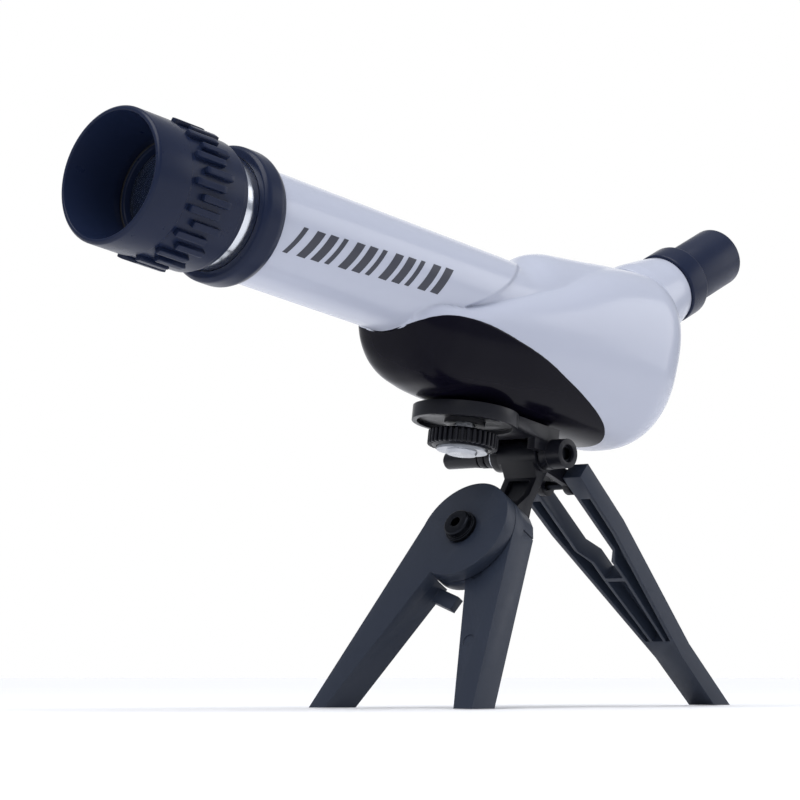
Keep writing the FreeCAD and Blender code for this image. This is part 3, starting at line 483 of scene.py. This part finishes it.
def softened_mesh(node, width):
    """A copy of a CAD node's mesh with its triangles merged and its edges rounded."""
    bm = bmesh.new()
    bm.from_mesh(frame["nodes"][node].data)
    bmesh.ops.remove_doubles(bm, verts=bm.verts, dist=2e-6)
    bmesh.ops.dissolve_limit(bm, angle_limit=math.radians(1.2), verts=bm.verts, edges=bm.edges)
    mesh = bpy.data.meshes.new(node + "_merged")
    bm.to_mesh(mesh)
    bm.free()
    rounding = bpy.data.objects.new(node + "_rounding", mesh)
    bpy.context.scene.collection.objects.link(rounding)
    bevel = rounding.modifiers.new("edge_round", "BEVEL")
    bevel.width = width
    bevel.segments = 3
    bevel.limit_method = "ANGLE"
    bevel.angle_limit = math.radians(38)
    bevel.use_clamp_overlap = True
    return applied(node + "_soft", rounding)


def softened(node, body, slot, width=None):
    """A CAD node with softened edges in place of the plain one."""
    mesh = softened_mesh(node, sizes().edge_round if width is None else width)
    return own_piece(node + "_moulding", mesh, body, slot, (node,), 30.0)


# ---------------------------------------------------------------- rounded bars in a ring (Geometry Nodes)


def bar_ring_tree():
    """A tree that sets rounded bars in a ring round Z, each bar along Z."""
    tree = bpy.data.node_groups.new("ring_of_rounded_bars", "GeometryNodeTree")
    face = tree.interface
    face.new_socket("Geometry", in_out="OUTPUT", socket_type="NodeSocketGeometry")
    for name in ("Radius", "Length", "Width", "Depth", "Rounding", "Start", "Turn"):
        face.new_socket(name, in_out="INPUT", socket_type="NodeSocketFloat")
    face.new_socket("Count", in_out="INPUT", socket_type="NodeSocketInt")
    face.new_socket("Material", in_out="INPUT", socket_type="NodeSocketMaterial")
    given = add_node(tree, "NodeGroupInput").outputs

    bar_size = add_node(tree, "ShaderNodeCombineXYZ",
                        {"X": given["Depth"], "Y": given["Width"], "Z": given["Length"]})
    cube = add_node(tree, "GeometryNodeMeshCube", {
        "Size": bar_size.outputs[0], "Vertices X": 5, "Vertices Y": 9, "Vertices Z": 15})
    # Each point moves to a ball's radius from the nearest point of the inner box, which rounds every edge.
    place_in = add_node(tree, "GeometryNodeInputPosition").outputs[0]
    half_size = add_node(tree, "ShaderNodeVectorMath", {0: bar_size.outputs[0], "Scale": 0.5},
                         operation="SCALE")
    inner = add_node(tree, "ShaderNodeVectorMath", {0: half_size.outputs[0], 1: given["Rounding"]},
                     operation="SUBTRACT")
    outer_neg = add_node(tree, "ShaderNodeVectorMath", {0: inner.outputs[0], "Scale": -1.0},
                         operation="SCALE")
    low = add_node(tree, "ShaderNodeVectorMath", {0: place_in, 1: outer_neg.outputs[0]}, operation="MAXIMUM")
    core = add_node(tree, "ShaderNodeVectorMath", {0: low.outputs[0], 1: inner.outputs[0]},
                    operation="MINIMUM")
    out_way = add_node(tree, "ShaderNodeVectorMath", {0: place_in, 1: core.outputs[0]}, operation="SUBTRACT")
    unit = add_node(tree, "ShaderNodeVectorMath", {0: out_way.outputs[0]}, operation="NORMALIZE")
    ball = add_node(tree, "ShaderNodeVectorMath", {0: unit.outputs[0], "Scale": given["Rounding"]},
                    operation="SCALE")
    rounded = add_node(tree, "ShaderNodeVectorMath", {0: core.outputs[0], 1: ball.outputs[0]},
                       operation="ADD")
    bar = add_node(tree, "GeometryNodeSetPosition",
                   {"Geometry": cube.outputs["Mesh"], "Position": rounded.outputs[0]})

    ring = add_node(tree, "GeometryNodeMeshCircle", {"Vertices": given["Count"], "Radius": given["Radius"]})
    at = add_node(tree, "GeometryNodeInputPosition").outputs[0]
    facing = add_node(tree, "FunctionNodeAlignEulerToVector", {"Vector": at}, axis="X", pivot_axis="Z")
    set_out = add_node(tree, "GeometryNodeInstanceOnPoints", {
        "Points": ring.outputs["Mesh"], "Instance": bar.outputs["Geometry"],
        "Rotation": facing.outputs["Rotation"]})
    half_length = add_node(tree, "ShaderNodeMath", {0: given["Length"], 1: 0.5}, operation="MULTIPLY")
    middle = add_node(tree, "ShaderNodeMath", {0: given["Start"], 1: half_length.outputs[0]}, operation="ADD")
    lift = add_node(tree, "ShaderNodeCombineXYZ", {"Z": middle.outputs[0]})
    spin = add_node(tree, "ShaderNodeCombineXYZ", {"Z": given["Turn"]})
    moved = add_node(tree, "GeometryNodeTransform", {
        "Geometry": set_out.outputs["Instances"], "Translation": lift.outputs[0],
        "Rotation": spin.outputs[0]})
    solid = add_node(tree, "GeometryNodeRealizeInstances", {"Geometry": moved.outputs[0]})
    painted = add_node(tree, "GeometryNodeSetMaterial", {
        "Geometry": solid.outputs[0], "Material": given["Material"]})
    add_node(tree, "NodeGroupOutput", {0: painted.outputs[0]})
    return tree


def bar_ring(name, matrix, slot, count, **lengths):
    """Rounded bars along X in a ring round X, as a plain mesh in its place."""
    tree = bpy.data.node_groups.get("ring_of_rounded_bars") or bar_ring_tree()
    holder = bpy.data.objects.new(name, bpy.data.meshes.new(name))
    bpy.context.scene.collection.objects.link(holder)
    modifier = holder.modifiers.new("bars", "NODES")
    modifier.node_group = tree
    values = {"Count": count, "Material": finish(slot), **lengths}
    for item in tree.interface.items_tree:
        if item.item_type == "SOCKET" and item.in_out == "INPUT":
            modifier[item.identifier] = values[item.name]
    mesh = applied(name, holder)
    z_to_x = Matrix(((0, 0, 1, 0), (1, 0, 0, 0), (0, 1, 0, 0), (0, 0, 0, 1)))
    mesh.transform(matrix @ z_to_x)
    return mesh


# ---------------------------------------------------------------- the shell's surface

# Knots along the tube in millimetres behind the mouth: (station, value).
SIDE_HALF_WIDTH = [(100, 7.0), (112, 8.0), (116, 9.5), (119, 12.5), (123, 15.5), (128, 17.9), (136, 19.3),
                   (150, 20.8), (165, 22.2), (180, 23.0),
                   (200, 23.5), (225, 23.5), (250, 23.5)]
SIDE_TOP = [(100, -5.6), (124, -5.4), (136.8, -4.4), (154.6, 3.7), (165.4, 7.7), (179.3, 12.9), (191, 18.5),
            (203, 23.5), (215, 27.0), (225, 28.6), (250, 28.6)]
SIDE_BOTTOM = [(100, -12.0), (112, -12.6), (117, -14.4), (119.4, -18.4), (121.6, -23.0), (124.8, -26.8),
               (129.5, -29.8), (136, -31.6), (145, -32.6),
               (160, -32.9), (225, -32.9), (250, -32.9)]
SIDE_MIDDLE = [(100, -11.0), (136, -12.0), (154, -10.0), (165, -9.0), (179, -7.0), (200, -4.0), (225, -3.0),
               (250, -3.0)]
SADDLE_TOP = [(100, 10.0), (150, 15.4), (160, 16.4), (169.8, 16.9), (173.5, 18.8), (178.6, 22.0), (184, 23.8),
              (191, 24.8), (203, 26.2), (215, 27.9), (225, 28.9), (250, 28.9)]
SADDLE_HALF_WIDTH = [(100, 12.0), (136, 15.8), (158, 16.6), (168, 16.8), (179, 17.0), (191, 17.6),
                     (203, 19.4), (215, 21.2),
                     (225, 22.3), (250, 22.3)]
TONGUE_END = [(0, 169.8), (25, 168.0), (45, 162.5), (60, 158.5), (75, 153.5), (90, 147.0), (105, 139.0),
              (125, 128.0),
              (180, 118.0)]
STAR_HEIGHT = -5.0
BACK_START, BACK_LENGTH, BACK_POWER = 225.0, 23.6, 2.3
SIDE_POWER = 2.5
BACK_LEAN = 0.17


def smooth_curve(x, table):
    """A smooth curve through the table's knots."""
    xs, ys = np.array(table, float).T
    slopes = np.gradient(ys, xs)
    i = np.clip(np.searchsorted(xs, x) - 1, 0, len(xs) - 2)
    h = xs[i + 1] - xs[i]
    u = np.clip((x - xs[i]) / h, 0, 1)
    return ((2 * u**3 - 3 * u**2 + 1) * ys[i] + (u**3 - 2 * u**2 + u) * h * slopes[i]
            + (3 * u**2 - 2 * u**3) * ys[i + 1] + (u**3 - u**2) * h * slopes[i + 1])


def soft_max(a, b, blend_mm):
    """The larger of two, with a fillet of about this size where they cross."""
    return 0.5 * (a + b + np.sqrt((a - b) ** 2 + blend_mm**2) - blend_mm * np.exp(-np.abs(a - b) / blend_mm))


def reach(level, steps=44):
    """How far a ray goes before level(distance) rises past 1."""
    low, high = 0.0, 80.0
    shape = level(1.0).shape
    low, high = np.full(shape, low), np.full(shape, high)
    for _ in range(steps):
        middle = (low + high) / 2
        inside = level(middle) <= 1
        low = np.where(inside, middle, low)
        high = np.where(inside, high, middle)
    return (low + high) / 2


def shell_points(station, angle, proud=0.0):
    """Points of the outer shell in the tube's frame, from stations in mm and angles in radians from top."""
    sin_a, cos_a = np.sin(angle), np.cos(angle)
    past = np.clip((station - BACK_START) / BACK_LENGTH, 0, 1)
    closing = np.maximum(1 - past**BACK_POWER, 0) ** (1 / BACK_POWER)
    tube_r = sizes().tube_radius / MM

    half = smooth_curve(station, SIDE_HALF_WIDTH) * closing
    middle = smooth_curve(station, SIDE_MIDDLE)
    top = middle + (smooth_curve(station, SIDE_TOP) - middle) * closing
    bottom = middle + (smooth_curve(station, SIDE_BOTTOM) - middle) * closing
    saddle_top = smooth_curve(station, SADDLE_TOP) * (0.12 + 0.88 * closing)
    saddle_half = smooth_curve(station, SADDLE_HALF_WIDTH) * (0.12 + 0.88 * closing)
    star = STAR_HEIGHT + 0 * station

    def side_level(r):
        w, t = r * sin_a, star + r * cos_a
        rise = np.where(t > middle, top - middle, middle - bottom)
        rise = np.maximum(rise, 0.02)
        return (np.abs(w) / np.maximum(half, 0.02)) ** SIDE_POWER + (np.abs(t - middle) / rise) ** SIDE_POWER

    def saddle_level(r):
        w, t = r * sin_a, star + r * cos_a
        return (w / saddle_half) ** 2 + (t / saddle_top) ** 2

    side = reach(side_level)
    saddle = reach(saddle_level)
    around = np.degrees(np.abs(np.arctan2(sin_a * tube_r, star + tube_r * cos_a)))
    beyond = np.clip((station - smooth_curve(around, TONGUE_END)) / 2.6, 0, 1)
    tube_now = tube_r - 2.6 * beyond**2 * (3 - 2 * beyond)
    tube_now = np.where(station > 185, 1.0, tube_now)

    def tube_level(r):
        w, t = r * sin_a, star + r * cos_a
        return (w * w + t * t) / tube_now**2

    tube = reach(tube_level)
    tube = np.where(tube_now < 5.1, 0.0, tube)
    out = soft_max(soft_max(tube, saddle, 0.5), side, 0.9)
    out = np.where(closing < 1, soft_max(saddle, side, 0.9), out)
    out = out + proud
    w, t = out * sin_a, star + out * cos_a
    ramp = np.clip((station - 205) / 40, 0, 1)
    s = station + BACK_LEAN * (t - 8) * ramp * ramp * (3 - 2 * ramp)
    return np.stack([s, -w, t], axis=-1) * MM


def in_place(points, matrix):
    """Points moved by a matrix."""
    m = np.array(matrix)
    return points @ m[:3, :3].T + m[:3, 3]


def back_stations(steps):
    """Stations over the rounded back, closer together towards its end."""
    return [BACK_START + BACK_LENGTH * math.sin(math.pi / 2 * k / steps) for k in range(1, steps + 1)]


def shell_stations():
    """Stations from the collar to the back, dense where the tube ends on the saddle."""
    out = list(np.arange(46.0, 106.0, 3.0)) + list(np.arange(106.0, 130.0, 0.8)) + list(np.arange(130.0,
                                                                                                  182.0, 0.4))
    return out + list(np.arange(182.0, BACK_START, 1.0)) + back_stations(30)


# The cover's edge seen from the side: (station, height), front to back.
COVER_EDGE = [(117.6, -17.5), (118.4, -15.8), (120.5, -14.0), (124.5, -12.2), (130, -11.1), (143, -10.9),
              (157, -13.2),
              (171, -16.5), (181, -19.7), (194, -23.6), (205, -27.2), (212, -29.9), (217, -32.0),
              (219.5, -33.3)]


def cover_angle(station):
    """The angle at which the shell passes the cover's edge at one station."""
    height = smooth_curve(np.array([station]), COVER_EDGE)[0]
    trial = np.linspace(math.radians(60), math.pi, 721)
    points = shell_points(np.full_like(trial, station), trial)
    below = np.nonzero(points[:, 2] / MM <= height)[0]
    return trial[below[0]] if len(below) else math.pi


class SCOPE_OT_shell(bpy.types.Operator):
    """Build the pearl-white tube and housing in one smooth surface"""

    bl_idname = "scope.shell"
    bl_label = "Tube and housing"

    def execute(self, context):
        angles = np.linspace(0, 2 * math.pi, 224, endpoint=False)
        rows = []
        for station in shell_stations():
            row = shell_points(np.full_like(angles, station), angles)
            rows.append([Vector(p) for p in in_place(row, SCOPE)])
        shell = grid_mesh("shell", rows, True, (0, -1))
        own_piece("pearl_shell", shell, "scope", "shell_white", ("main_tube", "housing"), 50.0)
        neck = eased([(0, 6.0), (-21, 6.0), (-21, 15.4), (-15.5, 15.0), (-11.5, 14.2), (-5, 12.9),
                      (-0.6, 11.8),
                      (0, 11.3)], 0.5)
        own_piece("eyepiece_neck", turned_mesh("neck", neck, EYE), "scope", "shell_white", (), 50.0)
        return {"FINISHED"}


class SCOPE_OT_cover(bpy.types.Operator):
    """Build the gloss black belly cover on the shell"""

    bl_idname = "scope.cover"
    bl_label = "Belly cover"

    def execute(self, context):
        proud = sizes().cover_proud / MM
        front, back = COVER_EDGE[0][0], COVER_EDGE[-1][0] - 0.6
        stations = [front + (back - front) * (1 - math.cos(math.pi * k / 120)) / 2 for k in range(121)]
        share = np.concatenate([[-1.0, -1.0], np.linspace(-1, 1, 97), [1.0, 1.0]])
        lift = np.concatenate([[-0.9, proud * 0.35], np.full(97, proud), [proud * 0.35, -0.9]])
        grow = np.concatenate([[0.0, 0.0], np.full(97, -0.004), [0.0, 0.0]])
        rows = []
        for station in stations:
            edge = cover_angle(station)
            open_half = math.pi - edge
            angles = math.pi + share * np.maximum(open_half + grow, 0.0)
            points = shell_points(np.full_like(angles, station), angles, lift)
            rows.append([Vector(p) for p in in_place(points, SCOPE)])
        mesh = grid_mesh("cover", rows, False)
        own_piece("belly_panel", mesh, "scope", "cover_black", ("belly_cover",), 45.0)
        return {"FINISHED"}


class SCOPE_OT_barrel(bpy.types.Operator):
    """Build the focus barrel with its two staggered rings of grip ribs"""

    bl_idname = "scope.barrel"
    bl_label = "Focus barrel"

    def execute(self, context):
        s = sizes()
        r, end = s.barrel_radius / MM, s.barrel_length / MM
        bore = s.tube_radius / MM + 0.05
        body = eased([(0, r - 1.5, 0.3), (0, r - 0.7, 0.4), (0.7, r, 0.5), (13.0, r, 0.3),
                      (13.3, r - 0.4, 0.3),
                      (end - 2.7, r - 0.4, 0.3), (end - 2.4, r - 1.3, 0.2), (end - 0.5, r - 1.4, 0.3),
                      (end, r - 1.9, 0.2), (end, bore, 0.2), (18.7, bore, 0.1), (18.7, 15.4, 0.1),
                      (16.4, 15.4, 0.4)], 0.3)
        meshes = [turned_mesh("barrel_turned", body, SCOPE, 192)]
        turn_step = math.pi / s.rib_count
        depth = 2.4 * MM
        for start, long_mm, turn in ((14.5, 11.5, 0.0), (18.0, 10.6, turn_step)):
            meshes.append(bar_ring("grip_ribs", SCOPE, "barrel_black", s.rib_count,
                                   Radius=s.barrel_radius + s.rib_height - depth / 2, Length=long_mm * MM,
                                   Width=s.rib_width, Depth=depth, Rounding=0.42 * MM, Start=start * MM,
                                   Turn=turn))
        mesh = join_meshes("barrel", meshes)
        own_piece("focus_barrel_grip", mesh, "barrel", "barrel_black", ("focus_barrel",), 40.0)
        return {"FINISHED"}


class SCOPE_OT_front(bpy.types.Operator):
    """Build the collar, bright sleeve, lens cell and objective"""

    bl_idname = "scope.front"
    bl_label = "Collar, sleeve and objective"

    def execute(self, context):
        s = sizes()
        r, tube = s.collar_radius / MM, s.tube_radius / MM
        collar = eased([(42.5, tube + 0.05, 0.2), (42.5, r - 1.1, 0.4), (43.5, r - 0.1, 0.5), (44.6, r, 0.2),
                        (49.2, r, 0.8),
                        (51.8, r - 1.2, 0.7), (51.8, tube + 0.05, 0.2)], 0.4)
        own_piece("collar_ring", turned_mesh("collar", collar, SCOPE, 192), "scope", "barrel_black",
                  ("front_collar",))
        sleeve = eased([(29.0, tube - 1.2), (29.0, tube), (43.8, tube), (43.8, tube - 1.2)], 0.25)
        own_piece("sleeve_ring", turned_mesh("sleeve", sleeve, SCOPE, 192), "scope", "silver_sleeve",
                  ("focus_sleeve",))
        cell = eased([(19.0, 15.05), (19.0, tube - 0.3), (28.0, tube - 0.3), (28.0, 13.6), (22.8, 13.6),
                      (22.8, 15.05)],
                     0.2)
        own_piece("lens_cell", turned_mesh("cell", cell, SCOPE), "objective", "inner_black",
                  ("objective_cell",))
        keeper = eased([(19.0, 14.0, 0.25), (19.0, 15.0, 0.1), (20.8, 15.0, 0.1), (20.8, 13.2, 0.2)], 0.2)
        own_piece("lens_keeper", turned_mesh("keeper", keeper, SCOPE), "objective", "barrel_black",
                  ("lens_retainer",))
        return {"FINISHED"}


class SCOPE_OT_stripe(bpy.types.Operator):
    """Print a plain row of slanted bars where such tubes are marked"""

    bl_idname = "scope.stripe"
    bl_label = "Printed bars"

    def execute(self, context):
        s = sizes()
        radius = s.tube_radius / MM
        first, last, bar_count, slant = 59.0, 127.0, 12, 2.6
        pitch = (last - first) / bar_count
        meshes = []
        for k in range(bar_count):
            station = first + pitch * k
            wide = pitch * (0.62 if k % 3 else 0.34)
            centre = math.radians(108.0 - 12.0 * k / (bar_count - 1))
            half = s.stripe_height / MM / 2 / radius
            rows = []
            for i in range(5):
                row = []
                for j in range(13):
                    share = j / 12 * 2 - 1
                    angle = centre + share * half
                    x = station + wide * i / 4 - slant * share
                    row.append(Vector((x * MM, -(radius + 0.03) * math.sin(angle) * MM,
                                       (radius + 0.03) * math.cos(angle) * MM)))
                rows.append([SCOPE @ p for p in row])
            meshes.append(grid_mesh("bar", rows, False))
        mesh = join_meshes("bars", meshes)
        ink = bpy.data.objects.new("bars_thickness", mesh)
        bpy.context.scene.collection.objects.link(ink)
        thick = ink.modifiers.new("film", "SOLIDIFY")
        thick.thickness = 0.06 * MM
        thick.offset = 0.0
        mesh = applied("printed_bars", ink)
        mesh.materials.append(finish("ink"))
        own_piece("printed_bars", mesh, "scope", "barrel_black", (), 40.0)
        return {"FINISHED"}


class SCOPE_OT_eyepiece(bpy.types.Operator):
    """Build the eyepiece ring and its soft eyecup"""

    bl_idname = "scope.eyepiece"
    bl_label = "Eyepiece"

    def execute(self, context):
        s = sizes()
        ring, cup = s.ring_radius / MM, s.cup_radius / MM
        ring_shape = eased([(0, 8.45, 0.1), (0, ring - 0.5, 0.3), (0.5, ring, 0.4), (8.6, ring, 0.5),
                            (10.4, cup + 0.9, 0.5),
                            (10.4, 8.45, 0.1)], 0.3)
        own_piece("eye_ring", turned_mesh("eye_ring", ring_shape, EYE, 160), "eyepiece", "barrel_black",
                  ("eyepiece_ring",))
        cup_shape = eased([(10.45, 8.45, 0.1), (10.45, cup - 0.9, 0.2), (11.3, cup - 0.9, 0.2),
                           (11.3, cup, 0.3),
                           (33.0, cup, 0.9), (34.3, cup - 1.3, 0.7), (34.2, cup - 2.8, 0.6),
                           (24.4, cup - 3.6, 0.3),
                           (18.4, cup - 3.6, 0.2), (18.4, 8.45, 0.1)], 0.3)
        own_piece("eye_cup", turned_mesh("eye_cup", cup_shape, EYE, 160), "eyepiece", "cup_black",
                  ("eyecup",))
        return {"FINISHED"}


class SCOPE_OT_thumbwheel(bpy.types.Operator):
    """Build the knurled thumbwheel under the platform"""

    bl_idname = "scope.thumbwheel"
    bl_label = "Thumbwheel"

    def execute(self, context):
        s = sizes()
        r = s.wheel_radius / MM
        body = eased([(-2.05, 3.3, 0.1), (-2.05, r - 2.2, 0.5), (-2.9, r - 1.0, 0.5), (-6.9, r - 1.0, 0.5),
                      (-7.6, r - 2.4, 0.5), (-7.6, 8.3, 0.4), (-6.6, 7.8, 0.3), (-6.6, 3.3, 0.1)], 0.3)
        meshes = [turned_mesh("wheel_turned", body, WHEEL, 144)]
        meshes.append(bar_ring("knurls", WHEEL, "tripod_black", s.knurl_count,
                               Radius=s.wheel_radius - 0.85 * MM,
                               Length=4.6 * MM, Width=1.05 * MM, Depth=1.7 * MM, Rounding=0.34 * MM,
                               Start=-7.2 * MM, Turn=0.0))
        own_piece("thumbwheel_grip", join_meshes("wheel", meshes), "thumbwheel", "tripod_black",
                  ("thumbwheel",), 40.0)
        return {"FINISHED"}


class SCOPE_OT_tripod(bpy.types.Operator):
    """Soften the moulded tripod pieces and give them their plastics"""

    bl_idname = "scope.tripod"
    bl_label = "Tripod mouldings"

    def execute(self, context):
        softened("leg_left", "leg_left", "leg_slate")
        softened("leg_right", "leg_right", "leg_slate")
        softened("rear_leg", "rear_leg", "leg_slate")
        softened("hub", "hub", "tripod_black")
        softened("platform", "platform", "tripod_black")
        softened("lock_lever", "clamp", "tripod_black", 0.2 * MM)
        softened("leg_screw", "hub", "black_steel", 0.2 * MM)
        return {"FINISHED"}


class SCOPE_OT_small_parts(bpy.types.Operator):
    """Give the remaining CAD pieces their finishes"""

    bl_idname = "scope.small_parts"
    bl_label = "Small parts"

    def execute(self, context):
        slots = {sub["node"]: sub["material_slot"] for sub in frame["record"]["subparts"]}
        for name, node in frame["nodes"].items():
            if not node.material_slots:
                node.data.materials.append(None)
            for slot in node.material_slots:
                slot.material = finish(slots[name])
        return {"FINISHED"}


class SCOPE_OT_stage(bpy.types.Operator):
    """Set the pale floor, the soft lights and the camera"""

    bl_idname = "scope.stage"
    bl_label = "Stage"

    def light_room(self, tree):
        """A soft grey room with one white wall behind the telescope."""
        heading = add_node(tree, "ShaderNodeTexCoord").outputs["Generated"]
        facing = add_node(tree, "ShaderNodeVectorMath", {0: heading, 1: (0.7351, 0.6721, 0.0872)},
                          operation="DOT_PRODUCT").outputs["Value"]
        wall = add_node(tree, "ShaderNodeMapRange", {"Value": facing, "From Min": 0.86, "From Max": 0.95,
                                                     "To Min": 0.0, "To Max": 1.0},
                        interpolation_type="SMOOTHSTEP").outputs["Result"]
        mix = add_node(tree, "ShaderNodeMix", {0: wall, 6: (0.40, 0.415, 0.46, 1.0), 7: (1.0, 1.0, 1.0, 1.0)},
                       data_type="RGBA")
        tree.links.new(mix.outputs[2], tree.nodes["Background"].inputs["Color"])
        tree.nodes["Background"].inputs["Strength"].default_value = 1.0

    def execute(self, context):
        scene = context.scene
        low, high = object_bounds()
        bm = bmesh.new()
        bmesh.ops.create_grid(bm, x_segments=2, y_segments=2, size=30.0)
        floor_mesh = bpy.data.meshes.new("floor")
        bm.to_mesh(floor_mesh)
        bm.free()
        floor_mesh.transform(Matrix.Translation((0, 0, low.z - 0.0002)))
        material, tree, shader, coords = new_material("pale_paper_floor")
        two_tone(tree, shader, noise(tree, coords, 400.0), linear(0xF4F4F5), linear(0xEFEFF1))
        shader.inputs["Roughness"].default_value = 0.7
        floor_mesh.materials.append(material)
        floor = bpy.data.objects.new("floor", floor_mesh)
        scene.collection.objects.link(floor)
        floor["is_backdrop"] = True

        world = bpy.data.worlds.new("white_room")
        world.use_nodes = True
        self.light_room(world.node_tree)
        scene.world = world

        centre = (low + high) / 2
        for name, place_at, size, power in (
                ("key_softbox", (-0.75, -0.35, 0.75), 0.5, 1.4),
                ("side_softbox", (0.9, -0.5, 0.35), 0.6, 1.2)):
            light = bpy.data.lights.new(name, "AREA")
            light.shape = "DISK"
            light.size = size
            light.energy = power
            lamp = bpy.data.objects.new(name, light)
            lamp.location = centre + Vector(place_at)
            lamp.rotation_mode = "QUATERNION"
            lamp.rotation_quaternion = Vector(place_at).to_track_quat("Z", "Y")
            scene.collection.objects.link(lamp)

        sky = bpy.data.lights.new("overhead_diffuser", "SUN")
        sky.energy = 2.3
        sky.angle = math.radians(50.0)
        overhead = bpy.data.objects.new("overhead_diffuser", sky)
        overhead.rotation_mode = "QUATERNION"
        overhead.rotation_quaternion = Vector((-0.25, -0.1, 1.0)).to_track_quat("Z", "Y")
        scene.collection.objects.link(overhead)

        heading, pitch = math.radians(42.43), math.radians(5.0)
        forward = Vector((math.cos(heading) * math.cos(pitch), math.sin(heading) * math.cos(pitch),
                          math.sin(pitch)))
        camera = bpy.data.cameras.new("camera")
        camera.lens = 142.65
        camera.sensor_width = 36.0
        camera.clip_start, camera.clip_end = 0.05, 100.0
        eye = bpy.data.objects.new("camera", camera)
        eye.location = MOUTH - Vector((0.594, 0.6535, 0.1405))
        eye.rotation_mode = "QUATERNION"
        eye.rotation_quaternion = (-forward).to_track_quat("Z", "Y")
        scene.collection.objects.link(eye)
        scene.camera = eye
        scene.view_settings.view_transform = "Standard"
        return {"FINISHED"}


STEPS = (SCOPE_OT_shell, SCOPE_OT_cover, SCOPE_OT_barrel, SCOPE_OT_front, SCOPE_OT_stripe, SCOPE_OT_eyepiece,
         SCOPE_OT_thumbwheel, SCOPE_OT_tripod, SCOPE_OT_small_parts, SCOPE_OT_stage)


class SCOPE_PT_panel(bpy.types.Panel):
    """Sizes, colours and build steps of the telescope"""

    bl_idname = "SCOPE_PT_panel"
    bl_label = "Telescope"
    bl_space_type = "VIEW_3D"
    bl_region_type = "UI"
    bl_category = "Telescope"

    def draw(self, context):
        layout = self.layout
        for group in (context.scene.scope_sizes, context.scene.scope_colours):
            box = layout.box()
            for name in group.bl_rna.properties.keys():
                if name not in ("rna_type", "name"):
                    box.prop(group, name)
        for step in STEPS:
            layout.operator(step.bl_idname)


CLASSES = (ScopeSizes, ScopeColours, *STEPS, SCOPE_PT_panel)


def register():
    for cls in CLASSES:
        bpy.utils.register_class(cls)
    bpy.types.Scene.scope_sizes = PointerProperty(type=ScopeSizes)
    bpy.types.Scene.scope_colours = PointerProperty(type=ScopeColours)


def unregister():
    del bpy.types.Scene.scope_colours
    del bpy.types.Scene.scope_sizes
    for cls in reversed(CLASSES):
        bpy.utils.unregister_class(cls)


def main():
    register()
    for step in STEPS:
        area, name = step.bl_idname.split(".")
        getattr(getattr(bpy.ops, area), name)()


if __name__ == "__main__":
    main()
